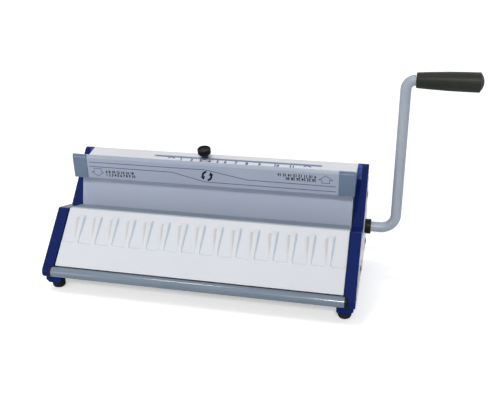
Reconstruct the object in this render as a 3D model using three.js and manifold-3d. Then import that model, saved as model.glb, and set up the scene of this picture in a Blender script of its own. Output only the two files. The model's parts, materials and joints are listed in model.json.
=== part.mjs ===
// Manual wire binding machine. The crank on the right punches the sheets and presses the wire shut.
// Millimetres: X runs to the right, Y to the back, Z up. Sizes are worked out from the bottom edge
// of the front cover; at the end the whole machine is moved so that it stands on Z = 0.
import * as THREE from "three";
import { ConvexGeometry } from "three/addons/geometries/ConvexGeometry.js";
import { mergeVertices } from "three/addons/utils/BufferGeometryUtils.js";
import Module from "manifold-3d";

const wasm = await Module();
wasm.setup();

const degree = Math.PI / 180;
const inch = 25.4;
const gap = 0.3; // between pieces that touch
const overrun = 1; // how far a cutting shape stands past what it cuts

// Driving dimensions

const body = {
  innerHalf: 201.4, // centre to the inner face of a side frame
  bottomZ: -17, // underside of the side frames
  topZ: 128.3, // top edge of the side frames
  frontLean: 42.5 * degree, // front cover, from the vertical
};
const head = {
  lean: 12.4 * degree, // paper rest, from the vertical
  y: 101.4, // foot of the paper rest
  z: 56.7,
};
const frame = {
  thick: 15.7,
  web: 6.6, // inner wall of the moulded shell
  rim: 4, // between the pocket and the edge of the side cover
  boss: 3.5, // wall round the bush and the screws
  proud: 1, // in front of the front cover
  noseRadius: 8.7,
  edgeRadius: 2.5,
  stepRadius: 3,
  topRadius: 6,
  ledgeDrop: 0.5, // below the ledge plate
  stepAhead: 2.8, // foot of the upper slope, in front of the paper rest
  upperLean: 40 * degree,
  topLength: 7.5,
  rearLean: 13 * degree,
  rearRadius: 9,
  bevelWide: 6.5, // along the inner edge of the upper slope
  bevelDeep: 3.5,
  bevelFromZ: 111,
};
const sideCover = { inset: 8.5, thick: 2.6, proud: 0.6, radius: 5 };
const foot = {
  outside: 1.6, // its centre, from the inner face of the side frame
  frontY: 13.2,
  rearY: 178,
  radius: 9,
  height: 16.7,
  flatRadius: 4,
  crownRadius: 7.4,
  crownHeight: 1.2,
  rimHeight: 3.8,
  padThick: 3,
  padMargin: 1.2,
  lipThick: 2.6,
  lipHeight: 8.5,
  sides: 16,
};
const basePlate = { thick: 2, frontY: 8.2, rearY: 189 };
const frontBar = {
  y: -1,
  z: -7.6,
  radius: 7.3,
  wall: 1.5,
  intoFrame: 1.8,
  ringThick: 3,
  ringProud: 0.3,
  spigot: 6,
  sides: 24,
};
const frontCover = { wall: 2.5, topRadius: 3, lip: 9, foot: 7 };
const fin = {
  pitch: inch,
  margin: 12, // beside the last fin
  landHalf: 2,
  lowHeight: 0.3,
  highHeight: 2.4,
  start: 39.5, // up the slope, from the bottom edge
  end: 78.2,
  tipRun: 2.4,
  lowFlank: 2.2,
  highFlank: 5.3,
  sunk: 0.8, // into the wall of the cover
};
const ledge = { thick: 2 };
const slot = { width: 2.6, depth: 11.3 }; // where the sheets go in to be punched
const restPanel = { wall: 1.5, sideGap: 2.7, height: 60.8, flange: 3.5, below: 1.5 };
const die = { front: 24, faceThick: 6.4, topThick: 2.7, floorThick: 3 };
const guideBlock = { thick: 8.5, sideGap: 18.4, rise: 1.8 };
const pin = { perInch: 3, size: 4, z: -6.5, play: 0.3 };
const punchBar = { sideGap: 24.4, thick: 4, lowZ: -12, highZ: 3, idleGap: 0.5, stroke: 8 };
const crank = {
  y: 132,
  z: 45.9,
  travel: 100 * degree,
  tubeRadius: 7.1,
  armOffset: 41.6, // from the face of the side cover
  armHeight: 209.3,
  lowBend: 20,
  highBend: 12,
  sides: 14,
  steps: 56,
  shaftShort: 2.4, // from the inner face of the right frame
  tenonRadius: 4,
  tenonLength: 16,
  spindleRadius: 4,
};
const grip = {
  length: 84.6,
  armRadius: 10.2,
  midRadius: 12.6,
  endRadius: 13,
  tipRadius: 9.5,
  tipLength: 5,
  floor: 6,
  sides: 24,
};
const bush = { wall: 1.9, play: 0.3, flangeRadius: 10.6, flangeThick: 8 };
const gear = {
  module: 2,
  teeth: 21,
  pressure: 20 * degree,
  addendumShare: 0.85,
  dedendumShare: 1.15,
  backlash: 0.5,
  width: 9,
  sideGap: 4.9,
  boreSides: 24,
};
const rack = { back: 4.4, beyondGear: 1.2, outerGap: 0.4, lowZ: -20, highZ: 48, teethHighZ: 40 };
const web = { thick: 2, rearLowZ: 24, frontLowZ: 40, ahead: 1.5 };
const joinRail = { front: 2, thick: 2.2, lowZ: 50, highZ: 58 };
const guide = { width: 6.2, rear: 12, footLowZ: 2, footHighZ: 11, highZ: 60, backGap: 4.8 };
const cam = { width: 12, sideGap: 51.4, arcSteps: 12, sides: 24 };
const tieRod = { radius: 5, behind: 29, sides: 16 };
const spring = { wireRadius: 0.8, turns: 6, pitch: 2.6, beforeCam: 38, stepsPerTurn: 16, sides: 5 };
const bar = {
  lowY: -22.4, // lower front edge, in the frame of the leaning head
  lowZ: 43.5,
  lean: 17.2 * degree, // forwards, from the paper rest
  height: 35.1,
  facetHeight: 4.5,
  facetBack: 1.8,
  wall: 3.2,
  lipThick: 3.5,
  depth: 13.5,
};
const cap = {
  length: 21.1,
  overFrame: 1.4,
  proud: 0.6,
  topFall: 6.7,
  slotStart: 3,
  tongueLow: 2,
  tongueHigh: 26.6,
};
const cover = {
  wall: 1.8,
  lipHeight: 3,
  frontZ: 64.6,
  ridgeY: 158.5,
  ridgeZ: 130.2,
  skirt: 22,
  rearLean: 14 * degree,
};
const sizeStop = {
  along: 28.6, // from the front of the cover, up its slope
  restX: -21,
  leftInset: 104.4, // end of the slot, from the inner face of the side frame
  rightInset: 51.4,
  slotWidth: 3.8,
  studRadius: 1.6,
  blockLength: 18,
  blockWidth: 10,
  blockThick: 4.5,
  fingerLength: 8,
  fingerWidth: 3,
  washerRadius: 5.2,
  washerThick: 1,
  knobRadius: 9.8,
  knobHeight: 16,
  neckRadius: 5.5,
  neckHeight: 4.5,
  knobSides: 24,
};
const tray = { sideGap: 26.4, frontY: 20, topZ: 2, wall: 1.6, play: 0.7, pull: 10, pullThick: 2, pullHalf: 40 };
const screw = {
  lowY: 75,
  lowZ: 5,
  highY: 148,
  highZ: 88,
  rearY: 176,
  rearZ: 4,
  radius: 4.8,
  headThick: 1.6,
  stemRadius: 2,
  stemLength: 9,
  sides: 14,
};

// Finishes

const finish = (color, roughness, metalness) => new THREE.MeshStandardMaterial({ color, roughness, metalness });
const finishes = {
  blue: () => finish(0x1d2d69, 0.42, 0),
  white: () => finish(0xdde0e8, 0.45, 0),
  offWhite: () => finish(0xe6e4d8, 0.5, 0),
  grey: () => finish(0x9aa5b5, 0.5, 0.1),
  ledgeGrey: () => finish(0x75828c, 0.5, 0.1),
  slate: () => finish(0x6b7d90, 0.5, 0),
  plate: () => finish(0xa2abb8, 0.4, 0.3),
  black: () => finish(0x30332f, 0.6, 0),
  rubber: () => finish(0x232422, 0.85, 0),
  tube: () => finish(0x9aa5b0, 0.35, 0.4),
  steel: () => finish(0x8d9196, 0.4, 0.9),
  bronze: () => finish(0x9a7b45, 0.45, 0.8),
};

// Outlines, in a plane of Y to the back and Z up

const point = (y, z) => new THREE.Vector2(y, z);
const leaning = (angle) => point(Math.sin(angle), Math.cos(angle)); // up, and back by the angle

function meet(first, alongFirst, second, alongSecond) {
  const reach = second.clone().sub(first).cross(alongSecond) / alongFirst.cross(alongSecond);
  return first.clone().addScaledVector(alongFirst, reach);
}

function rounded(corners, steps = 4) {
  const outline = [];
  corners.forEach(([corner, radius], index) => {
    if (!radius) {
      outline.push(corner);
      return;
    }
    const back = corners.at(index - 1)[0].clone().sub(corner).normalize();
    const on = corners[(index + 1) % corners.length][0].clone().sub(corner).normalize();
    const half = Math.acos(back.dot(on)) / 2;
    const centre = corner.clone().addScaledVector(back.clone().add(on).normalize(), radius / Math.sin(half));
    const start = corner.clone().addScaledVector(back, radius / Math.tan(half)).sub(centre);
    const turn = Math.sign(on.cross(back)) * (Math.PI - 2 * half);
    for (let step = 0; step <= steps; step += 1) {
      outline.push(start.clone().rotateAround(point(0, 0), (turn * step) / steps).add(centre));
    }
  });
  return outline;
}

function shifted(corners, distance, closed) {
  // each edge is moved to its left by the distance
  const count = corners.length;
  const edges = corners.map((corner, index) => {
    const along = corners[(index + 1) % count].clone().sub(corner).normalize();
    const left = point(-along.y, along.x);
    return { from: corner.clone().addScaledVector(left, distance), along, left };
  });
  return corners.map((corner, index) => {
    const before = edges[(index + count - 1) % count];
    const after = edges[index];
    if (!closed && index === 0) return after.from;
    if (!closed && index === count - 1) return corner.clone().addScaledVector(before.left, distance);
    return meet(before.from, before.along, after.from, after.along);
  });
}

const sheetOutline = (path, wall) => [...path, ...shifted(path, wall, false).reverse()];

// Solids

function tidied(geometry) {
  const bare = geometry.clone();
  bare.deleteAttribute("normal");
  bare.deleteAttribute("uv");
  const merged = mergeVertices(bare);
  const places = merged.attributes.position;
  const corner = (index) => new THREE.Vector3().fromBufferAttribute(places, index);
  const kept = [];
  let volume = 0;
  for (let index = 0; index < merged.index.count; index += 3) {
    const [a, b, c] = [0, 1, 2].map((step) => merged.index.getX(index + step));
    if (a === b || b === c || c === a) continue;
    kept.push([a, b, c]);
    volume += corner(a).dot(corner(b).cross(corner(c)));
  }
  if (volume < 0) kept.forEach((triangle) => triangle.reverse());
  merged.setIndex(kept.flat());
  return merged;
}

function toSolid(geometry) {
  const { attributes, index } = tidied(geometry);
  const mesh = new wasm.Mesh({
    numProp: 3,
    vertProperties: new Float32Array(attributes.position.array),
    triVerts: new Uint32Array(index.array),
  });
  return new wasm.Manifold(mesh);
}

function fromSolid(solid) {
  const mesh = solid.getMesh();
  const geometry = new THREE.BufferGeometry();
  geometry.setAttribute("position", new THREE.BufferAttribute(new Float32Array(mesh.vertProperties), 3));
  geometry.setIndex(new THREE.BufferAttribute(new Uint32Array(mesh.triVerts), 1));
  return geometry;
}

const join = (first, ...others) =>
  fromSolid(others.reduce((whole, other) => whole.add(toSolid(other)), toSolid(first)));
const cut = (first, ...others) =>
  fromSolid(others.reduce((whole, other) => whole.subtract(toSolid(other)), toSolid(first)));

function box(fromX, toX, fromY, toY, fromZ, toZ) {
  const size = [Math.abs(toX - fromX), Math.abs(toY - fromY), Math.abs(toZ - fromZ)];
  const middle = [(fromX + toX) / 2, (fromY + toY) / 2, (fromZ + toZ) / 2];
  return new THREE.BoxGeometry(...size).translate(...middle);
}

function prismX(outline, fromX, toX) {
  const low = Math.min(fromX, toX);
  const depth = Math.abs(toX - fromX);
  const turned = new THREE.Matrix4().makeBasis(
    new THREE.Vector3(0, 1, 0),
    new THREE.Vector3(0, 0, 1),
    new THREE.Vector3(1, 0, 0),
  );
  const solid = new THREE.ExtrudeGeometry(new THREE.Shape(outline), { depth, bevelEnabled: false });
  return solid.applyMatrix4(turned).translate(low, 0, 0);
}

function prismZ(outline, fromZ, toZ) {
  const shape = new THREE.Shape(outline);
  const solid = new THREE.ExtrudeGeometry(shape, { depth: toZ - fromZ, bevelEnabled: false });
  return solid.translate(0, 0, fromZ);
}

// A turned solid: each step of its profile is [radius, distance along the axis].
const turned = (profile, sides) => new THREE.LatheGeometry(profile.map((step) => point(...step)), sides);
const turnedX = (profile, sides) => turned(profile, sides).rotateZ(-Math.PI / 2);
const turnedZ = (profile, sides) => turned(profile, sides).rotateX(Math.PI / 2);

const rod = (radius, from, to) => [[0, from], [radius, from], [radius, to], [0, to]];
function pipe(inner, outer, from, to) {
  return [[inner, from], [outer, from], [outer, to], [inner, to], [inner, from]];
}

const machine = new THREE.Group();
const leaningHead = new THREE.Group();
leaningHead.position.set(0, head.y, head.z);
leaningHead.rotation.x = -head.lean;
machine.add(leaningHead);

function piece(name, geometry, material, group = machine) {
  const clean = tidied(geometry);
  clean.computeVertexNormals();
  const mesh = new THREE.Mesh(clean, material());
  mesh.name = name;
  group.add(mesh);
  return mesh;
}

const sides = [["left", -1], ["right", 1]];

// Places that several pieces share

const upFront = leaning(body.frontLean);
const outFront = point(-upFront.y, upFront.x);
const upRest = leaning(head.lean);
const backRest = point(upRest.y, -upRest.x);
const headFoot = point(head.y, head.z);
const fromHead = (y, z) => headFoot.clone().addScaledVector(backRest, y).addScaledVector(upRest, z);
const toHead = (place) => {
  const offset = place.clone().sub(headFoot);
  return point(offset.dot(backRest), offset.dot(upRest));
};
const coverCorner = meet(point(0, 0), upFront, headFoot, backRest);
const outerHalf = body.innerHalf + frame.thick;
const sideCoverX = outerHalf + sideCover.proud;
const crankAxle = point(crank.y, crank.z);
const barAxis = point(frontBar.y, frontBar.z);
const barHalf = body.innerHalf + frontBar.intoFrame;
const axle = toHead(crankAxle);
const pitchRadius = (gear.module * gear.teeth) / 2;
const pitchLine = axle.x - pitchRadius;
const panelHalf = body.innerHalf - gap;
const restHalf = body.innerHalf - restPanel.sideGap;
const gearInner = body.innerHalf - gear.sideGap - gear.width;
const rackInner = gearInner - rack.beyondGear;
const camPlace = body.innerHalf - cam.sideGap;
const bushRadius = crank.tubeRadius + bush.play + bush.wall;

// Side frames

function frameCorners() {
  const front = outFront.clone().multiplyScalar(frame.proud);
  const floor = point(0, body.bottomZ);
  const top = point(0, body.topZ);
  const level = point(1, 0);
  const ledgeLine = fromHead(0, -frame.ledgeDrop);
  const step = fromHead(-frame.stepAhead, -frame.ledgeDrop);
  const upper = leaning(frame.upperLean);
  const topFront = meet(step, upper, top, level);
  const topRear = topFront.clone().add(point(frame.topLength, 0));
  const rear = leaning(-frame.rearLean);
  return [
    [meet(front, upFront, floor, level), frame.noseRadius],
    [meet(topRear, rear, floor, level), frame.rearRadius],
    [topRear, frame.topRadius / 2],
    [topFront, frame.topRadius],
    [step, frame.stepRadius],
    [meet(front, upFront, ledgeLine, backRest), frame.edgeRadius],
  ];
}

const frameOutline = frameCorners();
const sideOutline = (inset) => {
  // the short top edge is left out, so that the slope and the rear edge meet in one corner
  const [nose, heel, topRear, , step, coverEdge] = frameOutline.map(([corner]) => corner);
  const apex = meet(step, leaning(frame.upperLean), topRear, leaning(-frame.rearLean));
  const corners = shifted([nose, heel, apex, step, coverEdge], inset, true);
  return rounded(corners.map((corner) => [corner, sideCover.radius]));
};
const screwPlaces = [
  point(screw.lowY, screw.lowZ),
  point(screw.highY, screw.highZ),
  point(screw.rearY, screw.rearZ),
];
const recessX = sideCoverX - sideCover.thick - gap;
const pocketX = body.innerHalf + frame.web;
function along(side, profile, sidesRound, place) {
  // a turned solid that runs outwards from the middle of the machine, at the place in Y and Z
  const solid = turnedX(profile, sidesRound);
  if (side < 0) solid.rotateZ(Math.PI);
  return solid.translate(0, place.x, place.y);
}
function pocket(side) {
  const hollow = prismX(sideOutline(sideCover.inset + frame.rim), side * pocketX, side * (recessX + overrun));
  const boss = (radius, place) =>
    along(
      side,
      rod(radius + gap + frame.boss, pocketX - overrun, recessX + 2 * overrun),
      frontBar.sides,
      place,
    );
  const screwBosses = screwPlaces.map((place) => boss(screw.stemRadius, place));
  return cut(hollow, boss(bushRadius, crankAxle), ...screwBosses);
}

const footX = body.innerHalf + foot.outside;
function footPad(side, y, outward) {
  // outward is -1 on a front foot and 1 on a rear one
  const reach = foot.radius + foot.padMargin;
  const under = body.bottomZ - foot.padThick;
  const lipEnd = body.bottomZ - foot.lipHeight;
  const outerX = side * (footX + foot.radius + gap + foot.lipThick);
  const innerX = side * (footX - reach);
  const edgeY = y + outward * (reach + foot.lipThick);
  const pad = box(innerX, outerX, y - outward * reach, edgeY, under, body.bottomZ);
  const root = box(side * body.innerHalf, outerX, y - outward * reach, edgeY, under, body.bottomZ + overrun);
  const lip = box(innerX, outerX, y + outward * reach, edgeY, lipEnd, under + overrun);
  const skirt = box(outerX, outerX - side * foot.lipThick, y - outward * reach, edgeY, lipEnd, under + overrun);
  return [root, pad, lip, skirt];
}

for (const [name, side] of sides) {
  const block = prismX(rounded(frameOutline), side * body.innerHalf, side * outerHalf);
  const pads = [...footPad(side, foot.frontY, -1), ...footPad(side, foot.rearY, 1)];
  const socketRadius = frontBar.radius + frontBar.ringProud + gap;
  const socketEnd = barHalf + gap + frontBar.ringThick + gap;
  const innerFace = body.innerHalf - overrun;
  const socket = along(side, rod(socketRadius, innerFace, socketEnd), frontBar.sides, barAxis);
  const bore = along(side, rod(bushRadius + gap, innerFace, outerHalf + overrun), frontBar.sides, crankAxle);
  const recess = prismX(sideOutline(sideCover.inset - gap), side * recessX, side * (outerHalf + overrun));
  const holeRadius = screw.stemRadius + gap;
  const holes = screwPlaces.map((place) =>
    along(side, rod(holeRadius, recessX - screw.stemLength, recessX + overrun), screw.sides, place),
  );
  const bevelTool = new THREE.BoxGeometry(1, 1, body.topZ)
    .rotateZ(Math.PI / 4)
    .scale(frame.bevelWide * Math.SQRT2, frame.bevelDeep * Math.SQRT2, 1)
    .translate(0, 0, body.topZ / 2)
    .rotateX(-frame.upperLean);
  const bevelStart = meet(
    frameOutline[4][0],
    leaning(frame.upperLean),
    point(0, frame.bevelFromZ),
    point(1, 0),
  );
  bevelTool.translate(side * body.innerHalf, bevelStart.x, bevelStart.y);
  const solid = cut(join(block, ...pads), socket, bore, recess, pocket(side), bevelTool, ...holes);
  piece(`side_frame_${name}`, solid, finishes.blue);

  const panel = prismX(sideOutline(sideCover.inset), side * (recessX + gap), side * sideCoverX);
  const through = (radius, sidesRound, place) =>
    along(side, rod(radius + gap, recessX, sideCoverX + overrun), sidesRound, place);
  const openings = screwPlaces.map((place) => through(screw.stemRadius, screw.sides, place));
  if (side > 0) openings.push(through(bushRadius, frontBar.sides, crankAxle));
  piece(`side_cover_${name}`, cut(panel, ...openings), finishes.offWhite);

  screwPlaces.forEach((place, index) => {
    const seat = sideCoverX + gap;
    const profile = [
      [0, recessX - screw.stemLength + gap],
      [screw.stemRadius, recessX - screw.stemLength + gap],
      [screw.stemRadius, seat],
      [screw.radius, seat],
      [screw.radius, seat + screw.headThick / 2],
      [screw.radius - screw.headThick / 2, seat + screw.headThick],
      [0, seat + screw.headThick],
    ];
    piece(`side_screw_${name}_${index + 1}`, along(side, profile, screw.sides, place), finishes.black);
  });
}

// Feet and base

const footTop = body.bottomZ - foot.padThick - gap;
for (const [name, side] of sides) {
  for (const [end, y] of [["front", foot.frontY], ["rear", foot.rearY]]) {
    const profile = [
      [0, -foot.height],
      [foot.flatRadius, -foot.height],
      [foot.crownRadius, -foot.height + foot.crownHeight],
      [foot.radius, -foot.height + foot.rimHeight],
      [foot.radius, 0],
      [0, 0],
    ];
    const dome = turnedZ(profile, foot.sides).translate(side * footX, y, footTop);
    piece(`foot_${end}_${name}`, dome, finishes.rubber);
  }
}

const floorZ = body.bottomZ + gap;
const plateTop = floorZ + basePlate.thick;
const baseOutline = [
  point(basePlate.frontY, floorZ),
  point(basePlate.rearY, floorZ),
  point(basePlate.rearY, plateTop),
  point(basePlate.frontY + basePlate.thick, plateTop),
  point(basePlate.frontY + basePlate.thick, -gap),
  point(basePlate.frontY, -gap),
];
piece("base_plate", prismX(baseOutline, -panelHalf, panelHalf), finishes.steel);

// Front bar with its end rings

const barTube = turnedX(
  pipe(frontBar.radius - frontBar.wall, frontBar.radius, -barHalf, barHalf),
  frontBar.sides,
);
piece("front_bar", barTube.translate(0, frontBar.y, frontBar.z), finishes.slate);
for (const [name, side] of sides) {
  const spigotRadius = frontBar.radius - frontBar.wall - gap;
  const ringRadius = frontBar.radius + frontBar.ringProud;
  const ringStart = barHalf + gap;
  const profile = [
    [0, ringStart - frontBar.spigot],
    [spigotRadius, ringStart - frontBar.spigot],
    [spigotRadius, ringStart],
    [ringRadius, ringStart],
    [ringRadius, ringStart + frontBar.ringThick],
    [0, ringStart + frontBar.ringThick],
  ];
  piece(`bar_ring_${name}`, along(side, profile, frontBar.sides, barAxis), finishes.black);
}

// Front cover with its fins

const lipEnd = coverCorner.clone().addScaledVector(backRest, frontCover.lip);
const coverPath = [point(frontCover.foot + basePlate.thick, 0), point(0, 0), coverCorner, lipEnd];
const coverInner = shifted(coverPath, -frontCover.wall, false);
const coverOutline = rounded([
  [coverPath[0], 0],
  [coverPath[1], 0],
  [coverPath[2], frontCover.topRadius],
  [coverPath[3], 0],
  ...coverInner.reverse().map((corner) => [corner, 0]),
]);
const slopeFrame = new THREE.Matrix4().makeBasis(
  new THREE.Vector3(1, 0, 0),
  new THREE.Vector3(0, upFront.x, upFront.y),
  new THREE.Vector3(0, outFront.x, outFront.y),
);
function finSolid(x) {
  const corners = [];
  for (const hand of [-1, 1]) {
    corners.push(new THREE.Vector3(hand * fin.landHalf, fin.start, fin.lowHeight));
    corners.push(new THREE.Vector3(hand * fin.landHalf, fin.end, fin.highHeight));
    corners.push(new THREE.Vector3(hand * (fin.landHalf + fin.lowFlank), fin.start - fin.tipRun, -fin.sunk));
    corners.push(new THREE.Vector3(hand * (fin.landHalf + fin.highFlank), fin.end + fin.tipRun, -fin.sunk));
  }
  return new ConvexGeometry(corners).translate(x, 0, 0).applyMatrix4(slopeFrame);
}
const fins = [];
const finsEachSide = Math.floor((panelHalf - fin.margin) / fin.pitch);
for (let index = -finsEachSide; index <= finsEachSide; index += 1) {
  fins.push(finSolid(index * fin.pitch));
}
piece("front_cover", join(prismX(coverOutline, -panelHalf, panelHalf), ...fins), finishes.white);

// Ledge, paper rest, and the punching unit below them

const ledgeFront = toHead(lipEnd).x + gap;
piece(
  "ledge_plate",
  box(-panelHalf, panelHalf, ledgeFront, -slot.width, -ledge.thick, 0),
  finishes.ledgeGrey,
  leaningHead,
);

const restOutline = [
  point(-restHalf, 0),
  point(restHalf, 0),
  point(restHalf, restPanel.flange),
  point(restHalf - restPanel.wall, restPanel.flange),
  point(restHalf - restPanel.wall, restPanel.wall),
  point(-restHalf + restPanel.wall, restPanel.wall),
  point(-restHalf + restPanel.wall, restPanel.flange),
  point(-restHalf, restPanel.flange),
];
piece("paper_rest", prismZ(restOutline, -restPanel.below, restPanel.height), finishes.grey, leaningHead);

const pinPitch = inch / pin.perInch;
const pressHalf = body.innerHalf - punchBar.sideGap;
const pinsEachSide = Math.floor((pressHalf - pin.size / 2) / pinPitch + 1 / 2);
const pinPlaces = [];
for (let index = -pinsEachSide; index < pinsEachSide; index += 1) {
  pinPlaces.push((index + 1 / 2) * pinPitch);
}
const pinHole = (x, fromY, toY) => {
  const half = pin.size / 2 + pin.play;
  return box(x - half, x + half, fromY, toY, pin.z - half, pin.z + half);
};
const dieTop = -ledge.thick - gap;
const dieFloor = -slot.depth;
const dieFace = -slot.width;
const dieBack = dieFace - die.faceThick;
const dieOutline = [
  point(-die.front, dieTop),
  point(-die.front, dieTop - die.topThick),
  point(dieBack, dieTop - die.topThick),
  point(dieBack, dieFloor - die.floorThick),
  point(restPanel.wall, dieFloor - die.floorThick),
  point(restPanel.wall, dieFloor),
  point(dieFace, dieFloor),
  point(dieFace, dieTop),
];
const dieHoles = pinPlaces.map((x) => pinHole(x, dieBack - overrun, dieFace + overrun));
piece("die_block", cut(prismX(dieOutline, -panelHalf, panelHalf), ...dieHoles), finishes.steel, leaningHead);

const guideFront = restPanel.wall + gap;
const guideRear = guideFront + guideBlock.thick;
const guideHoles = pinPlaces.map((x) => pinHole(x, guideFront - overrun, guideRear + overrun));
const guideHalf = body.innerHalf - guideBlock.sideGap;
const guideSolid = box(
  -guideHalf,
  guideHalf,
  guideFront,
  guideRear,
  dieFloor - die.floorThick,
  -guideBlock.rise,
);
piece("pin_guide", cut(guideSolid, ...guideHoles), finishes.steel, leaningHead);

const barFront = guideRear + punchBar.stroke + punchBar.idleGap;
const barRear = barFront + punchBar.thick;
const pinBodies = pinPlaces.map((x) => {
  const half = pin.size / 2;
  return box(x - half, x + half, guideFront + gap, barFront + overrun, pin.z - half, pin.z + half);
});
const pressBar = box(-pressHalf, pressHalf, barFront, barRear, punchBar.lowZ, punchBar.highZ);
piece("punch_bar", join(pressBar, ...pinBodies), finishes.steel, leaningHead);

// Cross shaft, bushes, cams and pinions

const shaftEnd = body.innerHalf - crank.shaftShort;
const shaftStart = -(recessX - overrun / 2);
const shaftProfile = [
  [0, shaftStart],
  [crank.tubeRadius, shaftStart],
  [crank.tubeRadius, shaftEnd],
  [crank.tenonRadius, shaftEnd],
  [crank.tenonRadius, shaftEnd + crank.tenonLength],
  [0, shaftEnd + crank.tenonLength],
];
const shaft = turnedX(shaftProfile, gear.boreSides).translate(0, axle.x, axle.y);
piece("cross_shaft", shaft, finishes.steel, leaningHead);

const bushBore = crank.tubeRadius + bush.play;
const leftBush = turnedX(pipe(bushBore, bushRadius, -recessX, -body.innerHalf), gear.boreSides);
piece("bush_left", leftBush.translate(0, crank.y, crank.z), finishes.bronze);
const flangeEnd = sideCoverX + gap + bush.flangeThick;
const rightProfile = [
  [bushBore, body.innerHalf],
  [bushRadius, body.innerHalf],
  [bushRadius, sideCoverX + gap],
  [bush.flangeRadius, sideCoverX + gap],
  [bush.flangeRadius, flangeEnd],
  [bushBore, flangeEnd],
  [bushBore, body.innerHalf],
];
piece("crank_bush", turnedX(rightProfile, gear.boreSides).translate(0, crank.y, crank.z), finishes.black);

// The face of a cam is the involute of a circle, so that the flat back of the punch bar moves evenly.
const camRest = axle.x - barRear - gap;
const camRise = punchBar.stroke / crank.travel;
function camOutline() {
  const outline = [];
  for (let step = cam.arcSteps; step >= 0; step -= 1) {
    const turn = (crank.travel * step) / cam.arcSteps;
    const angle = Math.PI - turn;
    const reach = camRest + camRise * turn;
    outline.push(
      point(
        reach * Math.cos(angle) + camRise * Math.sin(angle),
        reach * Math.sin(angle) - camRise * Math.cos(angle),
      ),
    );
  }
  const tip = outline[0];
  const roundFrom = Math.PI + Math.atan(camRise / camRest) / 2;
  const roundTo = 2 * Math.PI + tip.angle() - Math.acos(camRest / tip.length());
  for (let step = 0; step <= cam.sides; step += 1) {
    const angle = roundFrom + ((roundTo - roundFrom) * step) / cam.sides;
    outline.push(point(camRest * Math.cos(angle), camRest * Math.sin(angle)));
  }
  return outline;
}
const shaftBore = (fromX, toX) => turnedX(rod(crank.tubeRadius + gap, fromX, toX), gear.boreSides);
[-camPlace, 0, camPlace].forEach((x, index) => {
  const half = cam.width / 2;
  const disc = cut(prismX(camOutline(), x - half, x + half), shaftBore(x - half - overrun, x + half + overrun));
  piece(`punch_cam_${index + 1}`, disc.translate(0, axle.x, axle.y), finishes.steel, leaningHead);
});

const addendum = gear.module * gear.addendumShare;
const dedendum = gear.module * gear.dedendumShare;
function pinionOutline() {
  const base = pitchRadius * Math.cos(gear.pressure);
  const tip = pitchRadius + addendum;
  const root = pitchRadius - dedendum;
  const involute = (angle) => Math.tan(angle) - angle;
  const halfTooth = Math.PI / (2 * gear.teeth) - gear.backlash / 4 / pitchRadius;
  const flank = [root, base, pitchRadius, (pitchRadius + tip) / 2, tip];
  const halfAngle = (radius) => {
    const atRadius = Math.acos(Math.min(base / radius, 1));
    return halfTooth + involute(gear.pressure) - involute(atRadius);
  };
  const outline = [];
  for (let tooth = 0; tooth < gear.teeth; tooth += 1) {
    const middle = Math.PI + (2 * Math.PI * tooth) / gear.teeth;
    flank.forEach((radius) => {
      const angle = middle - halfAngle(Math.max(radius, base));
      outline.push(point(radius * Math.cos(angle), radius * Math.sin(angle)));
    });
    [...flank].reverse().forEach((radius) => {
      const angle = middle + halfAngle(Math.max(radius, base));
      outline.push(point(radius * Math.cos(angle), radius * Math.sin(angle)));
    });
  }
  return outline;
}
for (const [name, side] of sides) {
  const fromX = side * gearInner;
  const toX = side * (gearInner + gear.width);
  const low = Math.min(fromX, toX) - overrun;
  const wheel = cut(prismX(pinionOutline(), fromX, toX), shaftBore(low, low + gear.width + 2 * overrun));
  piece(`pinion_${name}`, wheel.translate(0, axle.x, axle.y), finishes.steel, leaningHead);
}

// Slide carriers: a rack behind the paper rest, and a web that goes round its edge to the closing bar

const barFoot = point(bar.lowY, bar.lowZ);
const upBar = leaning(-bar.lean);
const backBar = point(upBar.y, -upBar.x);
const onBar = (up, back) => barFoot.clone().addScaledVector(upBar, up).addScaledVector(backBar, back);
const rackFront = pitchLine - dedendum - rack.back;
const rackRoot = pitchLine - dedendum;
function rackOutline() {
  const pitch = Math.PI * gear.module;
  const slope = Math.tan(gear.pressure);
  const halfPitch = pitch / 4 - gear.backlash / 4;
  const tipHalf = halfPitch - addendum * slope;
  const rootHalf = halfPitch + dedendum * slope;
  const outline = [point(rackFront, rack.lowZ), point(rackRoot, rack.lowZ)];
  const first = Math.ceil((rack.lowZ + rootHalf - axle.y) / pitch - 1 / 2);
  const last = Math.floor((rack.teethHighZ - rootHalf - axle.y) / pitch - 1 / 2);
  for (let tooth = first; tooth <= last; tooth += 1) {
    const middle = axle.y + (tooth + 1 / 2) * pitch;
    outline.push(point(rackRoot, middle - rootHalf));
    outline.push(point(pitchLine + addendum, middle - tipHalf));
    outline.push(point(pitchLine + addendum, middle + tipHalf));
    outline.push(point(rackRoot, middle + rootHalf));
  }
  outline.push(point(rackRoot, rack.highZ), point(rackFront, rack.highZ));
  return outline;
}
const carrierTop = joinRail.highZ + web.ahead;
const tongueFront = cap.slotStart + gap;
const tongueRear = bar.depth + bar.wall;
const webOutline = [
  onBar(cap.tongueLow, tongueFront),
  onBar(cap.tongueHigh, tongueFront),
  onBar(cap.tongueHigh, tongueRear),
  point(-web.ahead, carrierTop),
  point(rackRoot, carrierTop),
  point(rackRoot, web.rearLowZ),
  point(rackFront, web.rearLowZ),
  point(-web.ahead, web.frontLowZ),
  onBar(cap.tongueLow, tongueRear),
];
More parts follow.
